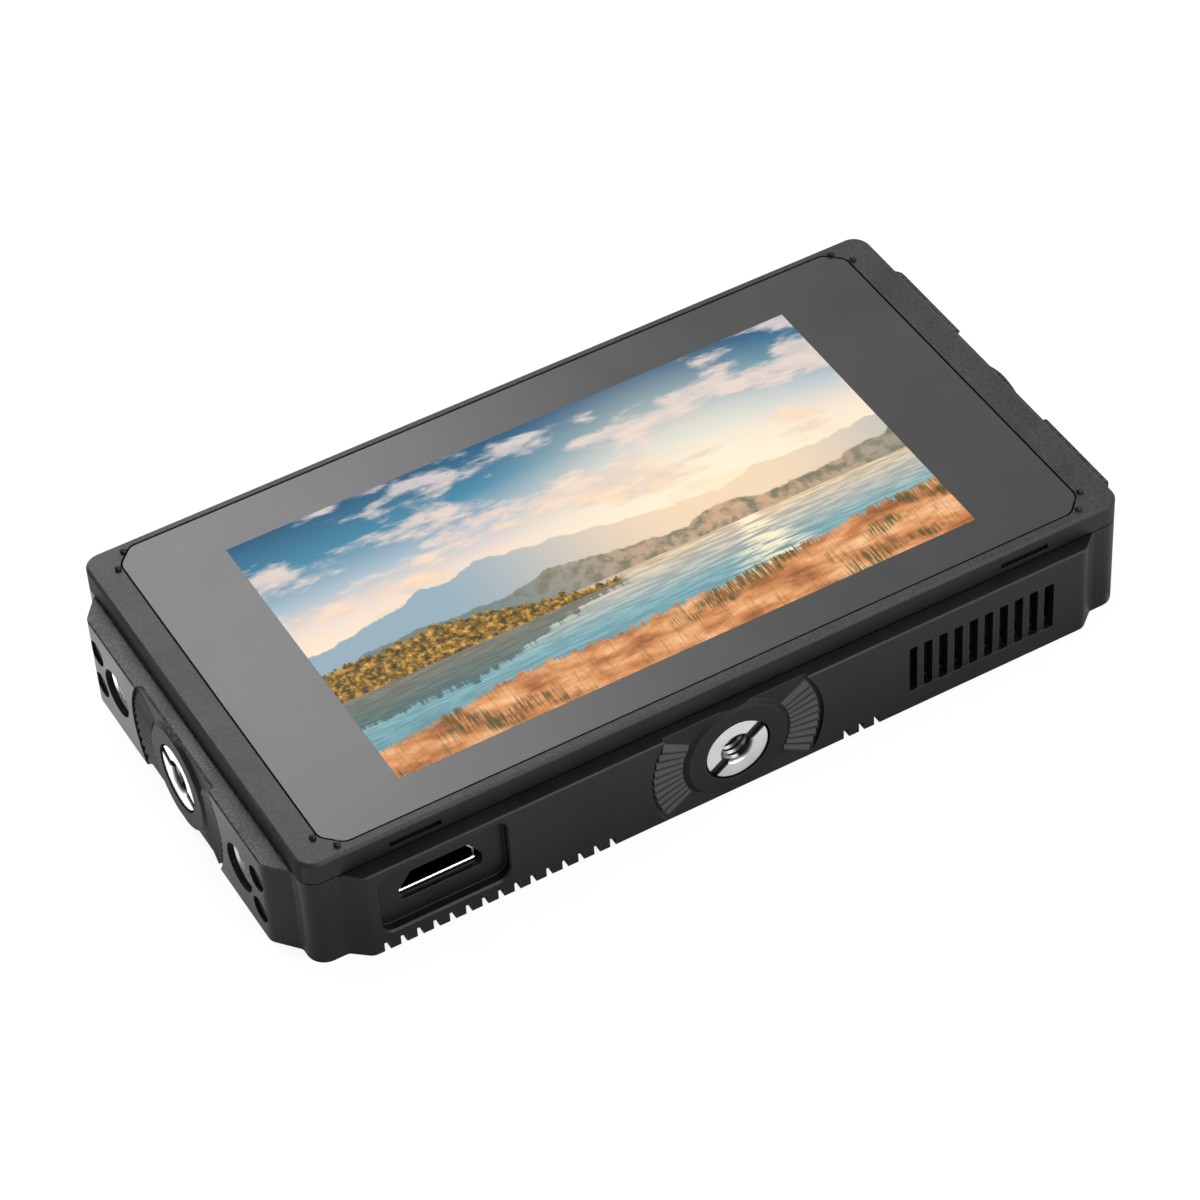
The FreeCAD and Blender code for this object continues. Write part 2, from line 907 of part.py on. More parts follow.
def port_cuts():
    middle = port_pocket_base + port_pocket_height / 2
    outline = rounded_rectangle(port_pocket_width, port_pocket_height, port_pocket_radius, port_x, middle)
    pocket = slab(outline, -port_pocket_depth, 0)
    lower = wire_at(outline, -port_pocket_chamfer)
    flare = Part.makeLoft([lower, grown_port(middle)], True, True)
    hole_outline = hdmi_outline(port_hole_width, port_hole_height, port_hole_radius)
    hole = placed(slab(hole_outline, -port_inner - cut_overrun, 0), port_x, hdmi_mid_z, 0)
    return [to_side(cut, "near") for cut in (pocket, flare, hole)]


def grown_port(middle):
    width = port_pocket_width + port_pocket_chamfer * 2
    height = port_pocket_height + port_pocket_chamfer * 2
    return rounded_rectangle(width, height, port_pocket_radius + port_pocket_chamfer, port_x, middle)


def wire_at(outline, level):
    moved = outline.copy()
    moved.translate(V(0, 0, level))
    return moved


def groove_cuts():
    places = [left_groove_x + index * groove_pitch for index in range(left_groove_count)]
    places += [right_groove_x + index * groove_pitch for index in range(right_groove_count)]
    half = groove_width / 2
    reach = half_depth + cut_overrun
    return [box(V(x - half, -reach, -cut_overrun), V(x + half, reach, groove_depth)) for x in places]


def case_screw_cuts():
    cuts = []
    floor = case_head_sink + case_head_height
    for x, y in case_screw_places():
        cuts.append(cylinder(case_head_radius + head_clearance, -cut_overrun, floor, x, y))
        cuts.append(cylinder(case_shank_radius + shank_clearance, floor, parting_z + cut_overrun, x, y))
    return cuts


def blower_screw_places():
    reach = blower_size / 2 - blower_screw_inset
    return [(vent_x + sign * reach, blower_y + reach) for sign in signs]


def blower_screw_cuts():
    pilot = blower_screw_radius + fit_gap
    low = back_wall - blower_screw_bite - pilot_spare
    return [cylinder(pilot, low, back_wall + cut_overrun, x, y) for x, y in blower_screw_places()]


def button_cuts():
    dish_width = button_width + button_dish_margin * 2
    dish_height = button_height + button_dish_margin * 2
    dish = slab(pill(dish_width, dish_height, button_x, side_mid_z), -button_dish_depth, cut_overrun)
    width = button_width + button_clearance * 2
    height = button_height + button_clearance * 2
    hole = slab(pill(width, height, button_x, side_mid_z), -shell_wall - cut_overrun, 0)
    lens_x = button_x + lens_offset
    lens = cylinder(lens_radius + fit_gap, -shell_wall - cut_overrun, cut_overrun, lens_x, side_mid_z)
    return [to_side(cut, "far") for cut in (dish, hole, lens)]


def button_stack_depths():
    flange_back = shell_wall + button_flange_thickness
    switch_front = flange_back + switch_gap
    board_front = switch_front + switch_thickness
    return flange_back, switch_front, board_front


def board_ribs():
    board_back = button_stack_depths()[2] + button_board_thickness
    ribs = []
    for sign in signs:
        left = button_x + sign * board_rib_offset - board_rib_width / 2
        low = V(left, 0, -board_back - board_rib_thickness)
        rib = box(low, V(left + board_rib_width, back_wall + board_rib_height, -board_back))
        ribs.append(to_side(rib, "far"))
    return ribs


def shell_inside():
    pieces = [bay_platform(), latch_well(), port_pad_block()]
    pieces += [insert_boss(side) for side in rosette_sides]
    pieces += board_ribs()
    pieces += [cylinder(case_post_radius, 0, parting_z, x, y) for x, y in case_screw_places()]
    return pieces


def shell_cuts():
    cuts = bay_cuts() + port_cuts() + groove_cuts() + case_screw_cuts() + blower_screw_cuts() + button_cuts()
    cuts += vent_slots("near") + vent_slots("far")
    cuts += block_cuts("left") + block_cuts("right")
    for side in rosette_sides:
        cuts.append(rosette_recess(side))
        cuts.append(insert_seat(side))
    return cuts


def rear_shell():
    shell = shell_body().cut(shell_hollow()).fuse(shell_inside())
    return shell.cut(shell_cuts()).removeSplitter()


def case_screws():
    length = parting_z + case_screw_bite - case_head_sink - case_head_height
    head = (case_head_radius, case_head_height)
    socket = (case_socket_across, case_socket_depth)
    one = upward(screw(head, (case_shank_radius, length), socket))
    return Part.makeCompound([placed(one, x, y, case_head_sink) for x, y in case_screw_places()])


# Threads on the sides

def mount_insert(side):
    face = -insert_drop
    flange = cylinder(insert_flange_radius, face - insert_flange_height, face)
    body = flange.fuse(cylinder(insert_barrel_radius, -insert_depth, face))
    bore = cylinder(insert_bore_radius, -insert_depth - cut_overrun, cut_overrun)
    mouth = countersink(insert_bore_radius, insert_countersink, V(0, 0, face))
    half = insert_slot_width / 2
    reach = insert_flange_radius + cut_overrun
    slot = box(V(-reach, -half, face - insert_slot_depth), V(reach, half, cut_overrun))
    slot.rotate(ORIGIN, Z_AXIS, insert_slot_angles[side])
    insert = body.cut([bore, mouth, slot]).removeSplitter()
    return to_side(placed(insert, 0, side_mid_z, 0), side)


def block_screw_places():
    places = four_corners(block_screw_offset, block_screw_spread)
    return [(x, y + side_mid_z) for x, y in places]


def thread_block():
    """The block on the positive half of a side."""
    face = -shell_wall
    back = face - block_thickness
    left = side_hole_offset - block_margin_in
    right = block_screw_offset + block_margin_out
    half = block_height / 2
    block = box(V(left, side_mid_z - half, back), V(right, side_mid_z + half, face))
    block = block.fuse(cylinder(block_boss_radius, back, -side_hole_lip, side_hole_offset, side_mid_z))
    bore = cylinder(block_bore_radius, back - cut_overrun, 0, side_hole_offset, side_mid_z)
    mouth = countersink(block_bore_radius, block_countersink, V(side_hole_offset, side_mid_z, -side_hole_lip))
    pilot = block_shank_radius + fit_gap
    end = face - block_screw_bite - pilot_spare
    holes = [cylinder(pilot, end, 0, x, y) for x, y in block_screw_places() if x > 0]
    return block.cut([bore, mouth] + holes).removeSplitter()


def thread_blocks(side):
    block = thread_block()
    pair = [block, block.mirror(ORIGIN, X_AXIS)]
    return Part.makeCompound([to_side(one, side) for one in pair])


def block_screws(side):
    length = shell_wall - block_head_sink - block_head_height + block_screw_bite
    head = (block_head_radius, block_head_height)
    socket = (block_socket_across, block_socket_depth)
    one = screw(head, (block_shank_radius, length), socket)
    places = block_screw_places()
    return Part.makeCompound([to_side(placed(one, x, y, -block_head_sink), side) for x, y in places])


# Video socket

def hdmi_inner_outline():
    inner_width = hdmi_width - hdmi_sheet * 2
    inner_height = hdmi_height - hdmi_sheet * 2
    return hdmi_outline(inner_width, inner_height, hdmi_radius - hdmi_sheet / 2)


def hdmi_shell():
    back = -port_mouth - hdmi_length
    outer = slab(hdmi_outline(hdmi_width, hdmi_height, hdmi_radius), back, -port_mouth)
    inner = slab(hdmi_inner_outline(), back - cut_overrun, -port_mouth + cut_overrun)
    return to_side(placed(outer.cut(inner), port_x, hdmi_mid_z, 0), "near")


def hdmi_tongue():
    back = -port_mouth - hdmi_length
    root = slab(offset_outline(hdmi_inner_outline(), -fit_gap), back, back + tongue_root)
    half = tongue_width / 2
    low = V(-half, -tongue_thickness / 2, back)
    tongue = box(low, V(half, tongue_thickness / 2, -port_mouth - tongue_setback))
    return to_side(placed(root.fuse(tongue).removeSplitter(), port_x, hdmi_mid_z, 0), "near")


# Main board and cooling

def board_outline():
    """The board goes round the near insert's boss and the latch well."""
    well_width, well_depth = well_size(well_wall)
    notch_y = latch_y + well_depth / 2 + board_notch_gap
    notch_half = max(insert_boss_radius, well_width / 2) + board_notch_gap
    points = [
        (board_left_x, board_near_y),
        (-notch_half, board_near_y),
        (-notch_half, notch_y),
        (notch_half, notch_y),
        (notch_half, board_near_y),
        (board_right_x, board_near_y),
        (board_right_x, board_far_y),
        (board_left_x, board_far_y),
    ]
    return rounded_outline([(x, y, board_radius) for x, y in points])


def board_post_places():
    columns = (board_post_left_x, board_post_right_x)
    return [(x, y) for x in columns for y in (board_post_near_y, board_post_far_y)]


def main_board():
    board = slab(board_outline(), board_base, board_top)
    hole = small_shank_radius + shank_clearance
    low = board_base - cut_overrun
    return board.cut([cylinder(hole, low, board_top + cut_overrun, x, y) for x, y in board_post_places()])


def board_posts():
    post = slab(hexagon(board_post_across), board_top, midframe_base)
    pilot_top = board_top + board_screw_bite + pilot_spare
    post = post.cut(cylinder(small_shank_radius + fit_gap, board_top - cut_overrun, pilot_top))
    return Part.makeCompound([placed(post, x, y, 0) for x, y in board_post_places()])


def board_screws():
    one = upward(small_screw(small_shank_radius, board_thickness + board_screw_bite))
    level = board_base - small_head_height
    return Part.makeCompound([placed(one, x, y, level) for x, y in board_post_places()])


def chip_slab(size, low, high):
    half = size / 2
    return box(V(chip_x - half, chip_y - half, low), V(chip_x + half, chip_y + half, high))


def processor():
    return chip_slab(chip_size, chip_base, board_base)


def thermal_pad():
    return chip_slab(chip_size, heat_block_top, chip_base)


def heat_block():
    block = chip_slab(heat_block_size, back_wall, heat_block_top)
    pitch = heat_block_size / (heat_fin_count + 1)
    cuts = []
    for index in range(heat_fin_count):
        y = chip_y - heat_block_size / 2 + (index + 1) * pitch
        middle = (back_wall + heat_block_top) / 2
        for sign in signs:
            edge = chip_x + sign * heat_block_size / 2
            low = V(edge - heat_fin_depth, y - heat_fin_gap / 2, middle - heat_fin_depth)
            cuts.append(box(low, V(edge + heat_fin_depth, y + heat_fin_gap / 2, middle + heat_fin_depth)))
    return block.cut(cuts)


def lcd_ribbon():
    left = ribbon_x - ribbon_width / 2
    right = left + ribbon_width
    back = ribbon_y + ribbon_thickness
    leg = box(V(left, ribbon_y, board_top), V(right, back, midframe_top))
    foot = box(V(left, ribbon_y, board_top), V(right, ribbon_y + ribbon_run, board_top + ribbon_thickness))
    return leg.fuse(foot).removeSplitter()


def ribbon_socket():
    left = ribbon_x - socket_width / 2
    near = ribbon_y + ribbon_run
    high = V(left + socket_width, near + socket_depth, board_top + socket_height)
    return box(V(left, near, board_top), high)


# Blower

def blower_outline():
    return rounded_rectangle(blower_size, blower_size, blower_radius, vent_x, blower_y)


def blower_screw_holes():
    hole = blower_screw_radius + shank_clearance
    return [cylinder(hole, 0, blower_top + cut_overrun, x, y) for x, y in blower_screw_places()]


def fan_case():
    case = slab(blower_outline(), back_wall, lid_base)
    cavity = cylinder(blower_cavity_radius, blower_floor_top, lid_base + cut_overrun, vent_x, blower_y)
    low = V(vent_x - blower_cavity_radius, blower_near_y - cut_overrun, blower_floor_top)
    outlet = box(low, V(vent_x + blower_cavity_radius, blower_y, lid_base + cut_overrun))
    tower_top = blower_floor_top + bearing_length
    tower = cylinder(tower_radius, back_wall, tower_top, vent_x, blower_y)
    bore = cylinder(bearing_radius + fit_gap, blower_floor_top, tower_top + cut_overrun, vent_x, blower_y)
    return case.cut([cavity, outlet] + blower_screw_holes()).fuse(tower).cut(bore).removeSplitter()


def fan_lid():
    lid = slab(blower_outline(), lid_base, blower_top)
    inlet = cylinder(inlet_radius, lid_base - cut_overrun, blower_top + cut_overrun, vent_x, blower_y)
    return lid.cut([inlet] + blower_screw_holes())


def ring(outer, inner, low, high):
    hole = cylinder(inner, low - cut_overrun, high + cut_overrun, vent_x, blower_y)
    return cylinder(outer, low, high, vent_x, blower_y).cut(hole)


def fan_bearing():
    return ring(bearing_radius, shaft_radius + shaft_gap, blower_floor_top, blower_floor_top + bearing_length)


def fan_coil():
    return ring(coil_radius, tower_radius + fit_gap, blower_floor_top, blower_floor_top + coil_height)


def fan_blade():
    root = hub_radius * blade_root_share
    half = blade_thickness / 2
    blade = box(V(0, -half, rotor_base), V(rotor_radius - root, half, rotor_top))
    blade.rotate(ORIGIN, Z_AXIS, blade_angle)
    blade.translate(V(root, 0, 0))
    return blade


def fan_rotor():
    hub = cylinder(hub_radius, rotor_base, rotor_top)
    hollow = hub_radius - hub_wall
    hub = hub.cut(cylinder(hollow, rotor_base - cut_overrun, rotor_top - hub_top))
    pieces = [cylinder(shaft_radius, blower_floor_top + shaft_lift, rotor_top)]
    limit = cylinder(rotor_radius, rotor_base, rotor_top).cut(cylinder(hollow, rotor_base, rotor_top))
    for index in range(blade_count):
        blade = fan_blade()
        blade.rotate(ORIGIN, Z_AXIS, index * half_turn * 2 / blade_count)
        pieces.append(blade.common(limit))
    return placed(hub.fuse(pieces).removeSplitter(), vent_x, blower_y, 0)


def fan_screws():
    one = small_screw(blower_screw_radius, blower_height + blower_screw_bite)
    level = blower_top + small_head_height
    return Part.makeCompound([placed(one, x, y, level) for x, y in blower_screw_places()])


# Power button and status light

def power_button():
    cap = slab(pill(button_width, button_height, button_x, side_mid_z), -shell_wall, -button_drop)
    width = button_width + button_flange_margin * 2
    height = button_height + button_flange_margin * 2
    flange = slab(pill(width, height, button_x, side_mid_z), -button_stack_depths()[0], -shell_wall)
    return to_side(cap.fuse(flange).removeSplitter(), "far")


def switch_plunger():
    front = -button_stack_depths()[0]
    return to_side(cylinder(plunger_radius, front - plunger_length, front, button_x, side_mid_z), "far")


def power_switch():
    depths = button_stack_depths()
    half = switch_size / 2
    low = V(button_x - half, side_mid_z - half, -depths[2])
    body = box(low, V(button_x + half, side_mid_z + half, -depths[1]))
    well = cylinder(plunger_radius + plunger_clearance, -depths[1] - switch_well, 0, button_x, side_mid_z)
    return to_side(body.cut(well), "far")


def button_board():
    front = -button_stack_depths()[2]
    low = V(button_x - button_board_half, back_wall, front - button_board_thickness)
    high = V(button_x + button_board_half, back_wall + button_board_height, front)
    return to_side(box(low, high), "far")


def status_led():
    front = -button_stack_depths()[2]
    x = button_x + lens_offset
    low = V(x - led_width / 2, side_mid_z - led_height / 2, front)
    high = V(x + led_width / 2, side_mid_z + led_height / 2, front + led_thickness)
    return to_side(box(low, high), "far")


def status_lens():
    x = button_x + lens_offset
    back = led_thickness + led_gap - button_stack_depths()[2]
    rod = cylinder(lens_radius, back, -lens_drop, x, side_mid_z)
    collar = cylinder(lens_collar_radius, -shell_wall - lens_collar_thickness, -shell_wall, x, side_mid_z)
    return to_side(rod.fuse(collar).removeSplitter(), "far")


# Battery bay

def plate_screw_places():
    return [(sign * plate_screw_x, y) for sign in signs for y in (plate_screw_near_y, plate_screw_far_y)]


def plate_hook(sign, y):
    wall = sign * (bay_width / 2 - plate_gap)
    inner = wall - sign * hook_wall
    tip = wall - sign * hook_reach
    near = y - hook_length / 2
    top = plate_base - hook_rise
    upright = box(V(min(wall, inner), near, top), V(max(wall, inner), near + hook_length, bay_depth))
    lip = box(V(min(wall, tip), near, top), V(max(wall, tip), near + hook_length, top + hook_lip))
    return upright.fuse(lip)


def contact_places():
    return [index * blade_pitch for index in (-1, 0, 1)]


def contact_bar(x, gap):
    half = contact_width / 2 + gap
    back = bay_far_y - plate_gap
    near = back - contact_block_depth - contact_reach
    low = plate_base - contact_block_rise / 2 - contact_height / 2 - gap
    high = low + contact_height + gap * 2
    return box(V(x - half, near, low), V(x + half, back - contact_tail + gap, high))


def battery_plate():
    width = bay_width - plate_gap * 2
    depth = bay_far_y - bay_near_y - plate_gap * 2
    plate = slab(rounded_rectangle(width, depth, plate_radius, 0, bay_mid_y), plate_base, bay_depth)
    spread = depth * hook_spread_share
    hooks = [plate_hook(sign, bay_mid_y + end * spread) for sign in signs for end in signs]
    back = bay_far_y - plate_gap
    low = V(-contact_block_width / 2, back - contact_block_depth, plate_base - contact_block_rise)
    block = box(low, V(contact_block_width / 2, back, bay_depth))
    cuts = [contact_bar(x, fit_gap) for x in contact_places()]
    for x, y in plate_screw_places():
        cuts.append(cylinder(small_head_radius + head_clearance, 0, plate_base + plate_head_height, x, y))
        cuts.append(cylinder(plate_shank_radius + shank_clearance, 0, bay_depth + cut_overrun, x, y))
    window_x = latch_width / 2 + latch_clearance
    window_y = latch_depth / 2 + latch_clearance
    high = V(window_x, latch_y + window_y, bay_depth + cut_overrun)
    cuts.append(box(V(-window_x, latch_y - window_y, 0), high))
    return plate.fuse(hooks + [block]).cut(cuts).removeSplitter()


def battery_contacts():
    return Part.makeCompound([contact_bar(x, 0) for x in contact_places()])


def plate_screws():
    length = plate_thickness - plate_head_height + plate_screw_bite - pilot_spare
    head = (small_head_radius, plate_head_height)
    socket = (small_socket_across, plate_head_height / 2)
    one = upward(screw(head, (plate_shank_radius, length), socket))
    return Part.makeCompound([placed(one, x, y, plate_base) for x, y in plate_screw_places()])


def battery_latch():
    half_x = latch_width / 2
    half_y = latch_depth / 2
    tip = plate_base - latch_rise
    tab = box(V(-half_x, latch_y - half_y, tip), V(half_x, latch_y + half_y, latch_flange_base))
    lead_edges = [edge for edge in edges_at(tab, tip) if edge.CenterOfMass.y < latch_y - latch_lead]
    lead = tab.makeChamfer(latch_lead, lead_edges)
    edge_x = half_x + latch_flange_margin
    edge_y = half_y + latch_flange_margin
    low = V(-edge_x, latch_y - edge_y, latch_flange_base)
    flange = box(low, V(edge_x, latch_y + edge_y, spring_base))
    return lead.fuse(flange).removeSplitter()


def latch_spring():
    height = spring_room - spring_wire_radius * 2
    coil = Part.makeHelix(height / spring_turns, height, spring_radius)
    section = Part.Wire([Part.Circle(V(spring_radius, 0, 0), V(0, 1, 0), spring_wire_radius).toShape()])
    wire = Part.Wire(coil.Edges).makePipeShell([section], True, True)
    return placed(wire, 0, latch_y, spring_base + spring_wire_radius)


def write_parts():
    makers = [
        front_frame, cover_glass, glass_tape, lcd_panel, backlight_unit, midframe, midframe_screws,
        corner_pips, rear_shell, case_screws, hdmi_shell, hdmi_tongue, main_board, board_posts,
        board_screws, processor, thermal_pad, heat_block, lcd_ribbon, ribbon_socket, fan_case,
        fan_lid, fan_bearing, fan_coil, fan_rotor, fan_screws, power_button, switch_plunger,
        power_switch, button_board, status_led, status_lens, battery_plate, battery_contacts,
        plate_screws, battery_latch, latch_spring,
    ]
    shapes = {maker.__name__: maker() for maker in makers}
    shapes["bottom_mount_insert"] = mount_insert("near")
    for side in ("left", "right"):
        shapes[side + "_mount_insert"] = mount_insert(side)
        shapes[side + "_thread_blocks"] = thread_blocks(side)
        shapes[side + "_block_screws"] = block_screws(side)
    os.makedirs("parts", exist_ok=True)
    for name, shape in shapes.items():
        shape.exportStep("parts/" + name + ".step")


write_parts()
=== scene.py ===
import math
import bmesh
import bpy
from mathutils import Matrix, Vector


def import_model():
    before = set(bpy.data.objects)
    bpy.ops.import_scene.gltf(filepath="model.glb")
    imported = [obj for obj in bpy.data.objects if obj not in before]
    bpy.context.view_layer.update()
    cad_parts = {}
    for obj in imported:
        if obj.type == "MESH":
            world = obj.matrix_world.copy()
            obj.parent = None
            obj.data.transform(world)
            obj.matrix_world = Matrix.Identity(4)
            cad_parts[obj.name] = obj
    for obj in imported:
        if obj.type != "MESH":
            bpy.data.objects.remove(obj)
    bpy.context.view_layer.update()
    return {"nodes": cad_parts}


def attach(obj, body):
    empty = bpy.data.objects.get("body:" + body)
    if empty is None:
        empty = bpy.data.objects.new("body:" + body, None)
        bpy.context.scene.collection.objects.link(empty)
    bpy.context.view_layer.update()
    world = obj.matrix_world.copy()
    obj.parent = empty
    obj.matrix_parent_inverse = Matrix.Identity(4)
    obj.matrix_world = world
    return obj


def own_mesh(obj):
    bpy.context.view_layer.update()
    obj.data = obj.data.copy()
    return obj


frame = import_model()
nodes = frame["nodes"]

# Camera, solved from the photograph: angles in degrees, lengths in metres, offsets in pixels
IMAGE_SIZE = 1200
SENSOR = 36.0
FOCAL_PIXELS = 4352.0
CAMERA_AZIMUTH = -27.29
CAMERA_ELEVATION = 45.03
CAMERA_ROLL = 3.79
CAMERA_DISTANCE = 0.8062
CENTRE_OFFSET = (0.5, -70.0)
FRONT_LEVEL = 0.026

# Lit picture on the glass
PICTURE_SIZE = (0.12096, 0.06804)
PICTURE_CENTRE = (-0.00071, -0.00101)
PICTURE_LEVEL = 0.02596
PICTURE_THICKNESS = 0.00002

# Threads: pitch, wall radius, crest radius
QUARTER_INCH = (0.00127, 0.00295, 0.00255)
THREE_EIGHTHS = (0.0015875, 0.00445, 0.004)
THREAD_STEPS = 56
THREAD_BASE_SHARE = 0.86
THREAD_CREST_SHARE = 0.2
THREAD_ROOT = 0.00002
SIDE_LEVEL = 0.01025
# Faces of the mount inserts, and the depths below them over which the painted shade comes in
INSERT_MOUTHS = (0.04815, 0.0892)
INSERT_SHADE = (0.00006, 0.00045)

# Where each thread starts, from the middle outwards, and its length
BOTTOM_THREAD = (0.0381, 0.0094)
SIDE_THREAD = (0.0792, 0.0093)
BLOCK_THREAD = (0.0815, 0.0061)
BLOCK_ROW = 0.0253

# Socket contacts
SOCKET_X = -0.0602
TONGUE_LEVELS = (0.01155, 0.01275)
CONTACT_PITCH = 0.001
CONTACT_WIDTH = 0.00045
CONTACT_THICKNESS = 0.00006
CONTACT_FRONT = -0.0405
CONTACT_BACK = -0.0365
CONTACT_COUNTS = (10, 9)

# Flared lower lip of the socket
LIP_HALF = 0.0076
LIP_ROOT = (-0.0446, 0.00965)
LIP_REACH = 0.00022
LIP_FALL = 0.00018
LIP_CURVE = 1.4
LIP_THICKNESS = 0.0003
LIP_STEPS = 6
# Where the painted shade inside the socket starts and where it is full
SOCKET_MOUTH = -0.0446
SOCKET_DARK = -0.0443

# Front frame: the top face is speckled lighter as painted light and the walls below are painted darker as
# painted shade, the short sides are dull. Pairs run from zero to full
FRAME_TOP = (0.0254, 0.0258)
FRAME_SIDE = (0.0849, 0.0852)

# Rear shell: the side shoulders carry a coarse grain that is painted lighter as painted light, the matt
# rosettes are discs set into three sides
SHOULDER_LEVEL = (0.0205, 0.0207)
SHOULDER_SIDE = (0.0845, 0.0853)
ROSETTE_RIM = (0.0184, 0.0182)
ROSETTE_NEAR = (0.0469, 0.0472)
ROSETTE_SIDE = (0.0879, 0.0882)

# Teeth of the rosettes, as in the solid: ten to a fan, mirrored on the other side of the mount
FAN_INNER = (0.0113, 0.0115)
FAN_OUTER = (0.0176, 0.0174)
FAN_HALF_ANGLE = math.radians(32.0)
TOOTH_COUNT = 10
# Where along each tooth the painted light on its facet starts and is full; the darker part by the step is
# painted shade
TOOTH_SHADE = (0.10, 0.34)
TOOTH_END = 0.05

# Finishes: a noise is scale, detail and roughness, and edge radii and grain depths are in metres
CLOUD = (90.0, 3.0, 0.5)
COARSE_GRAIN = 1900.0
COARSE_DEPTH = 0.00006
FINE_GRAIN = 4200.0
FINE_DEPTH = 0.000012
FRAME_EDGE = 0.00012
SHELL_EDGE = 0.00016
INSERT_EDGE = 0.0001
# Painted highlight along sharp edges: its share, and the turns of the softened normal at which it begins and
# is full
EDGE_LIGHT_SHARE = 0.85
EDGE_LIGHT_TURN = (0.985, 0.92)
BEVEL_SAMPLES = 6

# Picture, in shares of its height from its lower left corner
SUN = (1.26, 0.53)
WATER_LEVEL = 0.345
SHORE_LEVEL = 0.315
SHORE_SOFT = 0.003
SHADOW_TOP = 0.316
POINT_END = (0.88, 0.84)

# Floor and surround: pairs run from zero to full
FLOOR_LEVEL = -0.0002
FLOOR_HALF = 4.0
FLOOR_GLOW = 0.88
FLOOR_GREY = 0.2
MIRRORED_GLOW = 0.05
MIRRORED_GREY = 0.55
LEFT_GLOW = 1.25
LEFT_FLOOR = (0.0, -0.09)
FAR_FLOOR = (-0.06, 0.04)
FRONT_FLOOR = (-0.048, -0.07)
FRONT_GLOW = 0.26
CASE_FOOT = ((0.086, 0.085), (0.046, 0.045))
WORLD_LOW = 0.3
WORLD_HIGH = 0.6
ZENITH_FROM = 0.72
ZENITH_TO = 0.9
ZENITH_GLOW = 0.36
LEFT_WORLD = (-0.35, 0.0)
LEFT_DIM = 0.2

# Lights: place, target and size in metres, power in watts
FRONT_SOFTBOX = ((0.18, -0.46, 0.25), (0, 0, 0.02), (0.30, 0.40), 1.3)
BACK_SOFTBOX = ((-0.01, 0.40, 0.48), (-0.01, 0, 0.02), (0.38, 0.30), 2.05)
CLIP = (0.01, 100.0)


# Shader network helpers

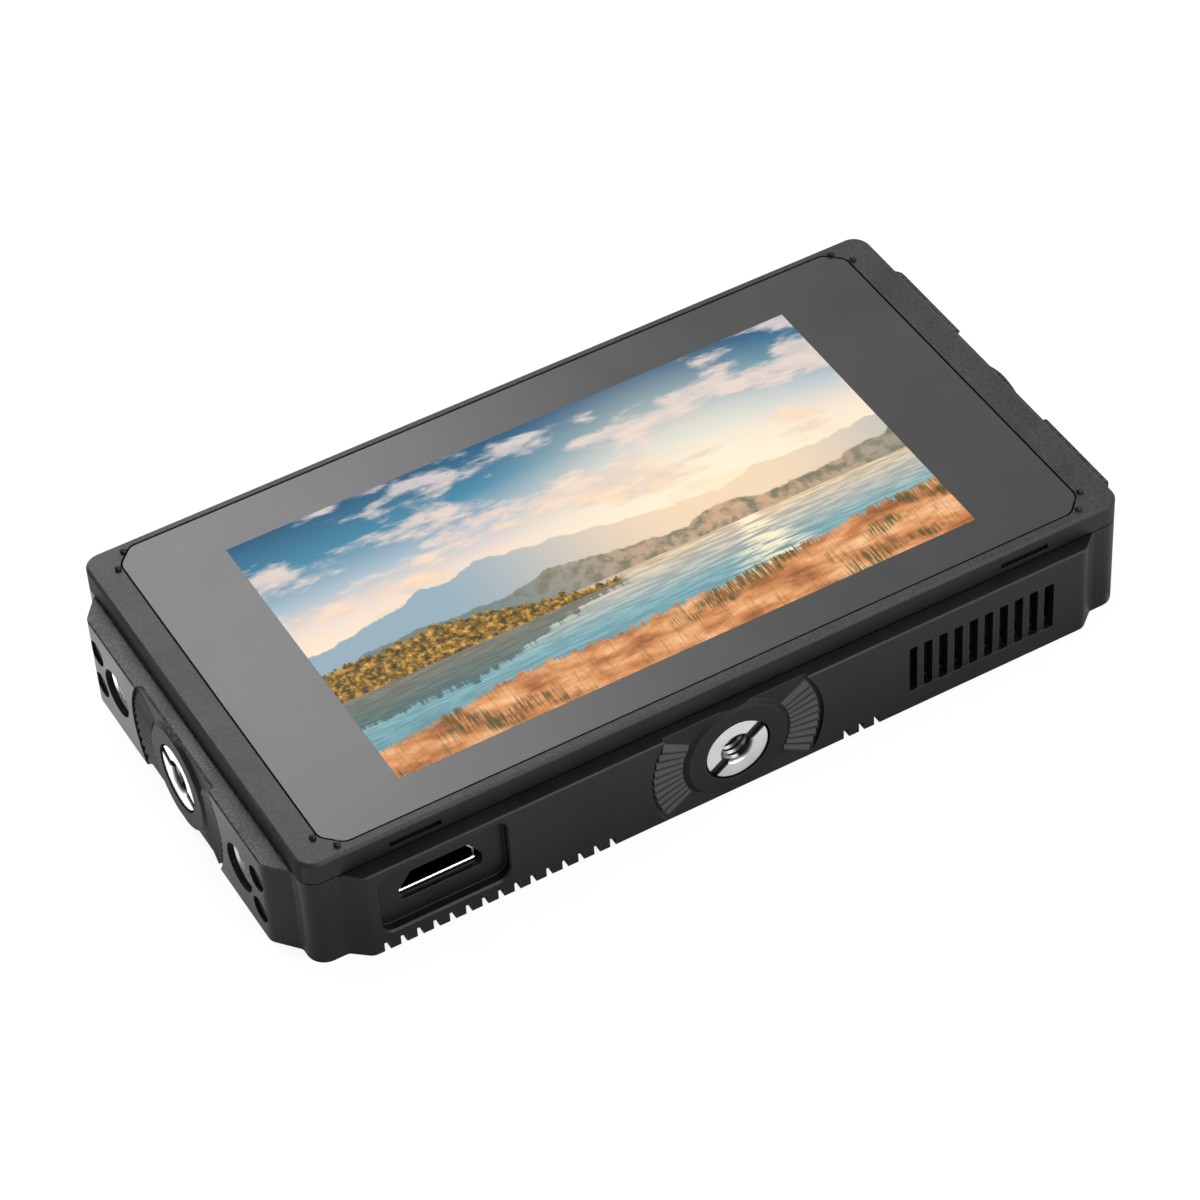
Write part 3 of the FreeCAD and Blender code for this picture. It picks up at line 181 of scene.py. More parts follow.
class Net:
    """A material's node tree with short calls for the nodes that the finishes use."""

    def __init__(self, name):
        self.material = bpy.data.materials.new(name)
        self.material.use_nodes = True
        self.tree = self.material.node_tree
        self.shader = self.tree.nodes["Principled BSDF"]
        self.place = self.node("ShaderNodeTexCoord").outputs["Object"]

    def node(self, kind, settings=None, **inputs):
        made = self.tree.nodes.new(kind)
        for key, value in (settings or {}).items():
            setattr(made, key, value)
        for key, value in inputs.items():
            self.feed(made.inputs[key.replace("_", " ")], value)
        return made

    def feed(self, socket, value):
        if isinstance(value, bpy.types.NodeSocket):
            self.tree.links.new(value, socket)
        else:
            socket.default_value = value

    def math(self, operation, first, second=0.0, third=0.0, clamp=False):
        made = self.tree.nodes.new("ShaderNodeMath")
        made.operation = operation
        made.use_clamp = clamp
        for socket, value in zip(made.inputs, (first, second, third)):
            self.feed(socket, value)
        return made.outputs[0]

    def step(self, value, low, high):
        """Smooth step from zero at low to one at high."""
        made = self.tree.nodes.new("ShaderNodeMapRange")
        made.interpolation_type = "SMOOTHSTEP"
        for name, given in (("Value", value), ("From Min", low), ("From Max", high)):
            self.feed(made.inputs[name], given)
        return made.outputs["Result"]

    def mix(self, factor, first, second, blend="MIX"):
        made = self.tree.nodes.new("ShaderNodeMix")
        made.data_type = "RGBA"
        made.blend_type = blend
        self.feed(made.inputs["Factor"], factor)
        self.feed(made.inputs[6], first)
        self.feed(made.inputs[7], second)
        return made.outputs[2]

    def ramp(self, factor, stops):
        made = self.tree.nodes.new("ShaderNodeValToRGB")
        band = made.color_ramp
        while len(band.elements) < len(stops):
            band.elements.new(1.0)
        for element, (at, colour) in zip(band.elements, stops):
            element.position = at
            element.color = tint(colour)
        self.feed(made.inputs["Fac"], factor)
        return made.outputs["Color"]

    def noise(self, scale, detail=2.0, rough=0.5, place=None):
        made = self.tree.nodes.new("ShaderNodeTexNoise")
        self.feed(made.inputs["Vector"], self.place if place is None else place)
        made.inputs["Scale"].default_value = scale
        made.inputs["Detail"].default_value = detail
        made.inputs["Roughness"].default_value = rough
        return made.outputs["Fac"]

    def split(self, vector=None):
        made = self.tree.nodes.new("ShaderNodeSeparateXYZ")
        self.feed(made.inputs[0], self.place if vector is None else vector)
        return made.outputs

    def join(self, x, y, z=0.0):
        made = self.tree.nodes.new("ShaderNodeCombineXYZ")
        for socket, value in zip(made.inputs, (x, y, z)):
            self.feed(socket, value)
        return made.outputs[0]

    def blend(self, first, first_share, second, second_share):
        """Sum of two values by their shares."""
        rest = self.math("MULTIPLY", second, second_share)
        return self.math("ADD", self.math("MULTIPLY", first, first_share), rest)

    def length(self, first, second):
        """Length of the vector with these two parts."""
        square = self.math("ADD", self.math("MULTIPLY", first, first), self.math("MULTIPLY", second, second))
        return self.math("SQRT", square)

    def swing(self, value, middle, height):
        """How far a value is from its middle, times a height."""
        return self.math("MULTIPLY", self.math("SUBTRACT", value, middle), height)

    def stretched(self, u, v, across, up):
        """Place for a noise, scaled along each way."""
        return self.join(self.math("MULTIPLY", u, across), self.math("MULTIPLY", v, up))

    def bump(self, height, strength, distance, normal=None):
        made = self.tree.nodes.new("ShaderNodeBump")
        made.inputs["Strength"].default_value = strength
        made.inputs["Distance"].default_value = distance
        self.feed(made.inputs["Height"], height)
        if normal is not None:
            self.feed(made.inputs["Normal"], normal)
        return made.outputs["Normal"]

    def rounded(self, radius):
        made = self.tree.nodes.new("ShaderNodeBevel")
        made.samples = BEVEL_SAMPLES
        made.inputs["Radius"].default_value = radius
        return made.outputs["Normal"]

    def edge_highlight(self, normal):
        """The painted highlight's share along sharp edges, where the softened normal leaves the face's own,
        else zero.
        """
        own = self.node("ShaderNodeNewGeometry").outputs["Normal"]
        turn = self.node("ShaderNodeVectorMath", {"operation": "DOT_PRODUCT"})
        self.feed(turn.inputs[0], normal)
        self.feed(turn.inputs[1], own)
        return self.math("MULTIPLY", self.step(turn.outputs["Value"], *EDGE_LIGHT_TURN), EDGE_LIGHT_SHARE)

    def set(self, **values):
        for key, value in values.items():
            self.feed(self.shader.inputs[key.replace("_", " ")], value)
        return self


def grey(level):
    return (level, level, level, 1.0)


def tint(colour):
    return (*colour[:3], 1.0)


# Finishes

def plastic(name, dark, light, roughness, grain_scale, grain_depth, edge, specular=0.5, edge_light=0.03):
    """Moulded plastic: fine spark grain, faint colour drift and softened edges with a painted highlight."""
    net = Net(name)
    grain = net.noise(grain_scale, 2.0, 0.6)
    cloud = net.noise(*CLOUD)
    colour = net.ramp(net.blend(grain, 0.6, cloud, 0.4), [(0.35, dark), (0.65, light)])
    soft = net.rounded(edge)
    # Lighter grey along sharp edges: a painted highlight
    colour = net.mix(net.edge_highlight(soft), colour, grey(edge_light))
    rough = net.ramp(cloud, [(0.3, grey(roughness - 0.04)), (0.7, grey(roughness + 0.05))])
    normal = net.bump(grain, 0.5, grain_depth, soft)
    net.set(Base_Color=colour, Roughness=rough, Normal=normal, Specular_IOR_Level=specular)
    return net.material


def frame_finish():
    """Grained black plastic, speckled lighter on the top face as painted light, painted darker on the walls
    as painted shade, with a painted highlight along the edges.
    """
    net = Net("frame_plastic")
    grain = net.noise(COARSE_GRAIN, 2.0, 0.6)
    cloud = net.noise(*CLOUD)
    mixture = net.blend(grain, 0.6, cloud, 0.4)
    # Top face: speckled grain, lighter as painted light; walls: plain and darker as painted shade
    lit_speckle = net.ramp(mixture, [(0.35, (0.004, 0.004, 0.0041)), (0.65, (0.04, 0.04, 0.0402))])
    plain = net.ramp(mixture, [(0.35, (0.002, 0.002, 0.002)), (0.65, (0.005, 0.005, 0.005))])
    x, _, z = net.split()
    top = net.step(z, *FRAME_TOP)
    colour = net.mix(top, plain, lit_speckle)
    soft = net.rounded(FRAME_EDGE)
    # Lighter grey along sharp edges: a painted highlight
    colour = net.mix(net.edge_highlight(soft), colour, grey(0.05))
    rough = net.ramp(cloud, [(0.3, grey(0.46)), (0.7, grey(0.55))])
    sideways = net.step(net.math("ABSOLUTE", x), *FRAME_SIDE)
    rough = net.mix(net.math("MULTIPLY", sideways, net.math("SUBTRACT", 1.0, top)), rough, grey(0.8))
    normal = net.bump(grain, 0.5, COARSE_DEPTH, soft)
    net.set(Base_Color=colour, Roughness=rough, Normal=normal, Specular_IOR_Level=0.42)
    return net.material


def rosettes(net):
    """Masks of the discs set in round the three mounts, and of the painted light on the facets of their
    teeth, with painted shade at each step.
    """
    x, y, z = net.split()
    up = net.math("SUBTRACT", z, SIDE_LEVEL)
    sides = ((x, net.math("MULTIPLY", y, -1.0), ROSETTE_NEAR), (y, net.math("ABSOLUTE", x), ROSETTE_SIDE))
    discs, teeth = [], []
    for across, out, start in sides:
        radius = net.length(across, up)
        face = net.step(out, *start)
        discs.append(net.math("MULTIPLY", net.step(radius, *ROSETTE_RIM), face))
        angle = net.math("ARCTAN2", up, net.math("ABSOLUTE", across))
        turn = net.math("MULTIPLY_ADD", angle, TOOTH_COUNT / (2 * FAN_HALF_ANGLE), TOOTH_COUNT / 2)
        facet = net.step(net.math("FRACT", turn), *TOOTH_SHADE)
        ends = (net.step(turn, 0.0, TOOTH_END), net.step(turn, TOOTH_COUNT, TOOTH_COUNT - TOOTH_END))
        band = net.math("MULTIPLY", net.step(radius, *FAN_INNER), net.step(radius, *FAN_OUTER))
        fan = net.math("MULTIPLY", net.math("MULTIPLY", net.math("MULTIPLY", *ends), band), face)
        teeth.append(net.math("MULTIPLY", fan, facet))
    return net.math("MAXIMUM", *discs), net.math("MAXIMUM", *teeth)


def shell_finish():
    """Satin plastic with a coarse grain on the side shoulders that is painted lighter as painted light, matt
    rosettes with painted light on their tooth facets, and a painted highlight along the edges.
    """
    net = Net("shell_plastic")
    fine = net.noise(FINE_GRAIN, 2.0, 0.6)
    coarse = net.noise(COARSE_GRAIN, 1.0, 0.5)
    cloud = net.noise(*CLOUD)
    x, _, z = net.split()
    sideways = net.step(net.math("ABSOLUTE", x), *SHOULDER_SIDE)
    shoulder = net.math("MULTIPLY", net.step(z, *SHOULDER_LEVEL), sideways)
    plain = net.ramp(cloud, [(0.35, (0.006, 0.006, 0.0061)), (0.65, (0.009, 0.009, 0.0091))])
    # Coarse grain on the side shoulders, lighter there as painted light
    lit_grain = net.ramp(coarse, [(0.42, (0.004, 0.004, 0.0041)), (0.68, (0.06, 0.06, 0.0602))])
    colour = net.mix(shoulder, plain, lit_grain)
    disc, teeth = rosettes(net)
    # Lighter grey on the tooth facets: painted light
    colour = net.mix(teeth, colour, grey(0.07))
    soft = net.rounded(SHELL_EDGE)
    # Lighter grey along sharp edges: a painted highlight
    colour = net.mix(net.edge_highlight(soft), colour, grey(0.09))
    rough = net.ramp(cloud, [(0.3, grey(0.35)), (0.7, grey(0.43))])
    rough = net.mix(disc, rough, grey(0.62))
    normal = net.bump(fine, 0.5, FINE_DEPTH, soft)
    normal = net.bump(net.math("MULTIPLY", coarse, shoulder), 0.5, COARSE_DEPTH, normal)
    net.set(Base_Color=colour, Roughness=rough, Normal=normal, Specular_IOR_Level=0.3)
    return net.material


def metal(name, dark, light, roughness, scale, edge=0.00012, depth=0.00001):
    """Bare metal with a fine worked surface."""
    net = Net(name)
    grain = net.noise(scale, 3.0, 0.6)
    cloud = net.noise(160.0, 3.0, 0.5)
    colour = net.ramp(cloud, [(0.3, dark), (0.7, light)])
    rough = net.ramp(grain, [(0.3, grey(roughness - 0.06)), (0.7, grey(roughness + 0.08))])
    normal = net.bump(grain, 0.3, depth, net.rounded(edge))
    net.set(Base_Color=colour, Roughness=rough, Normal=normal, Metallic=1.0)
    return net.material


def speckled(name, dark, light, roughness, scale, metallic=0.0, depth=0.00001):
    """Plain inner finish with a fine speckle."""
    net = Net(name)
    grain = net.noise(scale, 3.0, 0.6)
    colour = net.ramp(grain, [(0.3, dark), (0.7, light)])
    rough = net.ramp(grain, [(0.3, grey(roughness - 0.06)), (0.7, grey(roughness + 0.06))])
    net.set(Base_Color=colour, Roughness=rough, Normal=net.bump(grain, 0.25, depth), Metallic=metallic)
    return net.material


def turned_steel(name, axis, mouth):
    """Steel faced on a lathe: fine rings round the thread's axis, darkened below its face as painted shade.
    """
    net = Net(name)
    x, y, z = net.split()
    out, across = (y, x) if axis == "y" else (x, y)
    depth = net.math("SUBTRACT", mouth, net.math("ABSOLUTE", out))
    radius = net.length(across, net.math("SUBTRACT", z, SIDE_LEVEL))
    rings = net.noise(9000.0, 2.0, 0.6, net.join(radius, 0.0))
    cloud = net.noise(300.0, 3.0, 0.5)
    colour = net.ramp(rings, [(0.3, (0.86, 0.86, 0.86)), (0.7, (0.97, 0.97, 0.96))])
    rough = net.ramp(cloud, [(0.3, grey(0.38)), (0.7, grey(0.5))])
    # Nearly black below the insert's face: painted shade inside the bore
    colour = net.mix(net.math("MULTIPLY", net.step(depth, *INSERT_SHADE), 0.92), colour, grey(0.03))
    normal = net.bump(rings, 0.35, 0.00002, net.rounded(INSERT_EDGE))
    net.set(Base_Color=colour, Roughness=rough, Normal=normal, Metallic=1.0)
    return net.material


def socket_steel():
    """Bright tin at the mouth of the socket, painted dark inside it as painted shade."""
    net = Net("port_steel")
    y = net.split()[1]
    grain = net.noise(3200.0, 3.0, 0.6)
    bright = net.ramp(grain, [(0.3, (0.78, 0.78, 0.78)), (0.7, (0.90, 0.90, 0.89))])
    # Near black inside the socket: painted shade
    colour = net.mix(net.step(y, SOCKET_MOUTH, SOCKET_DARK), bright, grey(0.012))
    rough = net.ramp(grain, [(0.3, grey(0.2)), (0.7, grey(0.3))])
    normal = net.bump(grain, 0.2, 0.000005)
    net.set(Base_Color=colour, Roughness=rough, Normal=normal, Metallic=1.0)
    return net.material


def screen_border():
    """Black-backed glass with a faint haze."""
    net = Net("screen_border_glass")
    haze = net.noise(60.0, 3.0, 0.5)
    fine = net.noise(5000.0, 2.0, 0.5)
    colour = net.ramp(haze, [(0.3, (0.022, 0.0225, 0.024)), (0.7, (0.03, 0.0305, 0.032))])
    rough = net.ramp(haze, [(0.3, grey(0.3)), (0.7, grey(0.34))])
    net.set(Base_Color=colour, Roughness=rough, Normal=net.bump(fine, 0.06, 0.000004))
    return net.material


# Picture

def landscape():
    """A made-up evening lake: sky, clouds, two ranges of hills, water, a wooded point and a meadow."""
    net = Net("lit_picture_light")
    x, y, _ = net.split()
    width, height = PICTURE_SIZE
    u = net.math("DIVIDE", net.math("SUBTRACT", x, PICTURE_CENTRE[0] - width / 2), height)
    v = net.math("DIVIDE", net.math("SUBTRACT", y, PICTURE_CENTRE[1] - height / 2), height)
    picture = sky(net, u, v)
    picture = hills(net, u, v, picture)
    picture = lake(net, u, v, picture)
    picture = wooded_point(net, u, v, picture)
    picture = meadow(net, u, v, picture)
    net.set(Base_Color=grey(0.01), Roughness=0.5, Specular_IOR_Level=0.1)
    net.set(Emission_Color=picture, Emission_Strength=1.0)
    return net.material


def sun_distance(net, u, v, flat):
    """Distance from the sun, with its height stretched by flat."""
    return net.length(net.math("SUBTRACT", u, SUN[0]), net.swing(v, SUN[1], flat))


def sky(net, u, v):
    base = net.ramp(v, [
        (0.40, (1.0, 0.62, 0.30)), (0.50, (1.0, 0.82, 0.60)), (0.60, (0.88, 0.72, 0.62)),
        (0.70, (0.42, 0.52, 0.60)), (0.84, (0.05, 0.24, 0.37)), (1.0, (0.006, 0.09, 0.19)),
    ])
    glow = net.step(sun_distance(net, u, v, 1.3), 0.75, 0.0)
    base = net.mix(net.math("MULTIPLY", glow, 0.85), base, tint((1.0, 0.9, 0.68)))
    drift = net.join(net.blend(u, 1.1, v, 0.5), net.math("MULTIPLY", v, 2.9))
    large = net.noise(2.3, 7.0, 0.56, drift)
    fine = net.noise(7.0, 5.0, 0.6, drift)
    body = net.blend(large, 0.78, fine, 0.22)
    cover = net.math("MULTIPLY", net.step(body, 0.49, 0.58), net.step(v, 0.44, 0.6))
    shade = net.ramp(v, [(0.5, (1.0, 0.70, 0.42)), (0.72, (0.98, 0.74, 0.58)), (1.0, (0.80, 0.70, 0.68))])
    lit = net.mix(net.step(fine, 0.35, 0.65), net.mix(0.35, shade, tint((0.34, 0.42, 0.50))), shade)
    return net.mix(net.math("MULTIPLY", cover, 0.82), base, lit)


def ridge(net, u, start, middle, height, scale):
    """A skyline along u from layered noise."""
    line = net.noise(scale, 6.0, 0.52, net.join(net.math("ADD", u, start), start))
    return net.math("MULTIPLY_ADD", net.math("SUBTRACT", line, 0.5), height, middle)


def below(net, v, line, soft=0.004):
    """One under a line, with a soft edge."""
    return net.step(net.math("SUBTRACT", line, v), -soft, soft)


def hills(net, u, v, picture):
    haze = net.step(sun_distance(net, u, v, 1.0), 0.9, 0.1)
    far_colour = net.mix(haze, tint((0.30, 0.42, 0.50)), tint((0.92, 0.70, 0.48)))
    picture = net.mix(below(net, v, ridge(net, u, 3.7, 0.52, 0.42, 1.7)), picture, far_colour)
    mid_colour = net.mix(haze, tint((0.13, 0.24, 0.27)), tint((0.62, 0.40, 0.24)))
    patches = net.step(net.noise(22.0, 4.0, 0.6, net.join(u, v)), 0.4, 0.65)
    mottled = net.mix(patches, mid_colour, tint((0.20, 0.20, 0.13)))
    return net.mix(below(net, v, ridge(net, u, 11.2, 0.42, 0.30, 2.4)), picture, mottled)


def lake(net, u, v, picture):
    water = net.ramp(v, [
        (0.05, (0.10, 0.30, 0.36)), (0.20, (0.26, 0.48, 0.52)),
        (0.30, (0.74, 0.64, 0.50)), (WATER_LEVEL, (0.95, 0.70, 0.42)),
    ])
    ripple = net.noise(1.0, 5.0, 0.6, net.stretched(u, v, 9.0, 110.0))
    water = net.mix(net.step(ripple, 0.40, 0.62), net.mix(0.45, water, tint((0.06, 0.16, 0.20))), water)
    off = net.math("ABSOLUTE", net.math("SUBTRACT", u, SUN[0]))
    spread = net.math("MULTIPLY_ADD", net.math("SUBTRACT", WATER_LEVEL, v), 0.7, 0.05)
    inside = net.step(net.math("DIVIDE", off, spread), 1.0, 0.2)
    lane = net.math("MULTIPLY", inside, net.step(ripple, 0.42, 0.58))
    water = net.mix(lane, water, tint((1.0, 0.88, 0.60)))
    return net.mix(below(net, v, WATER_LEVEL, 0.002), picture, water)


def wooded_point(net, u, v, picture):
    """A spit of golden trees on the left, with its broken reflection."""
    reach = net.step(u, 0.86, 0.30)
    crowns = net.noise(34.0, 4.0, 0.65, net.join(u, 0.3))
    tall = net.math("MULTIPLY_ADD", reach, 0.10, net.swing(crowns, 0.42, 0.10))
    top = net.math("ADD", tall, WATER_LEVEL - 0.02)
    edge = net.step(u, *POINT_END)
    shore = net.step(v, SHORE_LEVEL - SHORE_SOFT, SHORE_LEVEL + SHORE_SOFT)
    trees = net.math("MULTIPLY", net.math("MULTIPLY", below(net, v, top, 0.003), shore), edge)
    wood = net.ramp(net.noise(46.0, 4.0, 0.7, net.join(u, v)), [
        (0.36, (0.03, 0.025, 0.008)), (0.5, (0.20, 0.12, 0.02)),
        (0.6, (0.60, 0.30, 0.04)), (0.72, (0.92, 0.56, 0.10)),
    ])
    mirrored = net.math("SUBTRACT", 2 * SHORE_LEVEL, top)
    wave = net.swing(net.noise(1.0, 3.0, 0.5, net.stretched(u, v, 6.0, 140.0)), 0.5, 0.05)
    deep = net.step(net.math("ADD", v, wave), mirrored, net.math("ADD", mirrored, 0.012))
    shadow = net.math("MULTIPLY", net.math("MULTIPLY", deep, below(net, v, SHADOW_TOP, 0.002)), edge)
    picture = net.mix(net.math("MULTIPLY", shadow, 0.72), picture, tint((0.035, 0.06, 0.045)))
    return net.mix(trees, picture, wood)


def meadow(net, u, v, picture):
    """Warm dry grass along the lower edge, with darker tufts standing out of it."""
    swell = net.swing(net.noise(1.4, 3.0, 0.5, net.join(net.math("ADD", u, 7.0), 2.0)), 0.5, 0.22)
    rise = net.math("MULTIPLY_ADD", net.step(u, 0.5, 1.75), 0.06, 0.14)
    blades = net.noise(1.0, 2.0, 0.7, net.stretched(u, v, 120.0, 9.0))
    line = net.math("ADD", net.math("ADD", rise, swell), net.swing(blades, 0.45, 0.09))
    patch = net.noise(6.0, 5.0, 0.6, net.join(u, net.math("MULTIPLY", v, 2.6)))
    ground = net.ramp(patch, [
        (0.34, (0.30, 0.10, 0.03)), (0.47, (0.62, 0.24, 0.08)),
        (0.58, (0.86, 0.42, 0.18)), (0.70, (0.96, 0.62, 0.36)),
    ])
    ground = net.mix(net.step(blades, 0.5, 0.7), ground, net.mix(0.5, ground, tint((0.30, 0.14, 0.03))))
    clump = net.noise(3.1, 3.0, 0.55, net.join(net.math("ADD", u, 21.0), net.math("MULTIPLY", v, 1.6)))
    dark = net.math("MULTIPLY", net.step(clump, 0.52, 0.6), net.step(blades, 0.40, 0.56))
    ground = net.mix(net.math("MULTIPLY", dark, 0.85), ground, tint((0.06, 0.075, 0.02)))
    return net.mix(below(net, v, line, 0.004), picture, ground)


# Meshes

def make_piece(name, verts, faces, material):
    """A piece of the fixed body, with the given finish."""
    mesh = bpy.data.meshes.new(name)
    mesh.from_pydata([tuple(point) for point in verts], [], faces)
    mesh.validate()
    work = bmesh.new()
    work.from_mesh(mesh)
    bmesh.ops.recalc_face_normals(work, faces=work.faces)
    work.to_mesh(mesh)
    work.free()
    mesh.materials.append(material)
    piece = bpy.data.objects.new(name, mesh)
    bpy.context.scene.collection.objects.link(piece)
    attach(piece, "monitor")


def slab_mesh(low, high):
    (x0, y0, z0), (x1, y1, z1) = low, high
    verts = [(x, y, z) for z in (z0, z1) for y in (y0, y1) for x in (x0, x1)]
    faces = [(0, 1, 3, 2), (4, 5, 7, 6), (0, 1, 5, 4), (2, 3, 7, 6), (0, 2, 6, 4), (1, 3, 7, 5)]
    return verts, faces


def lit_picture():
    half = [side / 2 for side in PICTURE_SIZE]
    low = (PICTURE_CENTRE[0] - half[0], PICTURE_CENTRE[1] - half[1], PICTURE_LEVEL)
    high = (PICTURE_CENTRE[0] + half[0], PICTURE_CENTRE[1] + half[1], PICTURE_LEVEL + PICTURE_THICKNESS)
    verts, faces = slab_mesh(low, high)
    make_piece("lit_picture", verts, faces, landscape())


def thread(name, start, axis, length, size, material):
    """A right-handed ridge wound along the wall of a bore, from start along axis."""
    pitch, wall, crest = size
    outward = Vector(axis)
    first = Vector((0, 0, 1))
    second = outward.cross(first)
    base = pitch * THREAD_BASE_SHARE / 2
    tip = pitch * THREAD_CREST_SHARE / 2
    section = [(wall + THREAD_ROOT, -base), (crest, -tip), (crest, tip), (wall + THREAD_ROOT, base)]
    run = length - base * 2
    count = int(run / pitch * THREAD_STEPS)
    verts = []
    for index in range(count + 1):
        angle = index * 2 * math.pi / THREAD_STEPS
        along = base + index * run / count
        spoke = first * math.cos(angle) + second * math.sin(angle)
        for radius, shift in section:
            verts.append(Vector(start) + outward * (along + shift) + spoke * radius)
    sides = len(section)
    faces = []
    for index in range(count):
        for side in range(sides):
            a = index * sides + side
            b = index * sides + (side + 1) % sides
            faces.append((a, b, b + sides, a + sides))
    faces.append(tuple(range(sides)))
    faces.append(tuple(range(count * sides, count * sides + sides)))
    make_piece(name, verts, faces, material)


def threads(material, deep):
    # The threads in the mount inserts take the darker steel, as painted shade inside the bores
    start, length = BOTTOM_THREAD
    thread("bottom_thread", (0, -start, SIDE_LEVEL), (0, -1, 0), length, QUARTER_INCH, deep)
    for side, sign in (("left", -1), ("right", 1)):
        start, length = SIDE_THREAD
        thread(side + "_thread", (sign * start, 0, SIDE_LEVEL), (sign, 0, 0), length, QUARTER_INCH, deep)
        start, length = BLOCK_THREAD
        for end, row in (("near", -1), ("far", 1)):
            place = (sign * start, row * BLOCK_ROW, SIDE_LEVEL)
            thread("%s_%s_thread" % (side, end), place, (sign, 0, 0), length, THREE_EIGHTHS, material)


def socket_contacts(material):
    verts, faces = [], []
    low_level, high_level = TONGUE_LEVELS
    rows = ((high_level, high_level + CONTACT_THICKNESS), (low_level - CONTACT_THICKNESS, low_level))
    for count, (low, high) in zip(CONTACT_COUNTS, rows):
        for index in range(count):
            x = SOCKET_X + (index - (count - 1) / 2) * CONTACT_PITCH
            corner = (x - CONTACT_WIDTH / 2, CONTACT_FRONT, low)
            more, sides = slab_mesh(corner, (x + CONTACT_WIDTH / 2, CONTACT_BACK, high))
            faces += [tuple(place + len(verts) for place in side) for side in sides]
            verts += more
    make_piece("socket_contacts", verts, faces, material)


def socket_lip(material):
    """The flared lower edge of the socket's shell: a rounded strip that leans out towards the front."""
    section = []
    for index in range(LIP_STEPS + 1):
        turn = index / LIP_STEPS
        section.append((-LIP_REACH * turn, -LIP_FALL * turn ** LIP_CURVE))
    under = [(y, z - LIP_THICKNESS) for y, z in reversed(section)]
    outline = section + under
    verts, faces = [], []
    for x in (SOCKET_X - LIP_HALF, SOCKET_X + LIP_HALF):
        verts += [(x, LIP_ROOT[0] + y, LIP_ROOT[1] + z) for y, z in outline]
    count = len(outline)
    for index in range(count):
        following = (index + 1) % count
        faces.append((index, following, following + count, index + count))
    faces.append(tuple(range(count)))
    faces.append(tuple(range(count, count * 2)))
    make_piece("socket_lip", verts, faces, material)


# Materials by node

frame_plastic = frame_finish()
shell_plastic = shell_finish()
rubber = plastic("rubber_black", (0.008, 0.008, 0.008), (0.015, 0.015, 0.015),
                 0.42, 5000.0, 0.00002, 0.00005, 0.4, 0.015)
tape = speckled("tape_black", (0.01, 0.01, 0.01), (0.02, 0.02, 0.02), 0.7, 4000.0)
lcd = speckled("lcd_dark", (0.012, 0.012, 0.014), (0.02, 0.02, 0.023), 0.3, 2500.0)
backlight = speckled("backlight_white", (0.72, 0.72, 0.70), (0.82, 0.82, 0.80), 0.5, 2500.0)
sheet = metal("sheet_metal", (0.52, 0.52, 0.53), (0.62, 0.62, 0.63), 0.35, 2600.0)
steel = metal("screw_steel", (0.50, 0.50, 0.51), (0.62, 0.62, 0.62), 0.3, 3000.0)
black_steel = metal("screw_black", (0.06, 0.06, 0.062), (0.1, 0.1, 0.102), 0.36, 3600.0)
port_steel = socket_steel()
port_plastic = plastic("port_plastic", (0.012, 0.012, 0.012), (0.02, 0.02, 0.02),
                       0.45, 4000.0, 0.00001, 0.00006)
board = speckled("board_green", (0.012, 0.07, 0.035), (0.02, 0.11, 0.05), 0.4, 1400.0)
brass = metal("brass_post", (0.62, 0.44, 0.16), (0.78, 0.58, 0.24), 0.3, 3000.0)
chip = speckled("chip_black", (0.014, 0.014, 0.015), (0.026, 0.026, 0.027), 0.5, 3000.0)
pad = speckled("pad_grey", (0.30, 0.31, 0.33), (0.40, 0.41, 0.43), 0.8, 2500.0)
aluminium = metal("heat_aluminium", (0.62, 0.62, 0.63), (0.76, 0.76, 0.77), 0.38, 1800.0)
ribbon = speckled("ribbon_orange", (0.55, 0.24, 0.05), (0.68, 0.32, 0.08), 0.45, 900.0)
fan_plastic = plastic("fan_plastic", (0.014, 0.014, 0.015), (0.022, 0.022, 0.023),
                      0.5, 3000.0, 0.00002, 0.0001)
copper = metal("copper_coil", (0.60, 0.26, 0.12), (0.78, 0.38, 0.20), 0.35, 5000.0)
button = plastic("button_plastic", (0.03, 0.03, 0.031), (0.042, 0.042, 0.043), 0.42, 4000.0, 0.00001, 0.0002)
lens = speckled("lens_clear", (0.55, 0.56, 0.56), (0.66, 0.67, 0.67), 0.2, 3000.0)
thread_steel = metal("thread_steel", (0.70, 0.70, 0.70), (0.88, 0.88, 0.87), 0.26, 4000.0, 0.00003)
# A darker copy of the thread steel for the threads in the mount inserts: painted shade inside the bores
shaded_steel = metal("shaded_thread_steel", (0.16, 0.16, 0.16), (0.30, 0.30, 0.30), 0.26, 4000.0, 0.00003)
# Gold darkened as painted shade inside the socket
shaded_contact_gold = metal("shaded_contact_gold", (0.10, 0.07, 0.02), (0.16, 0.11, 0.04), 0.3, 3000.0)

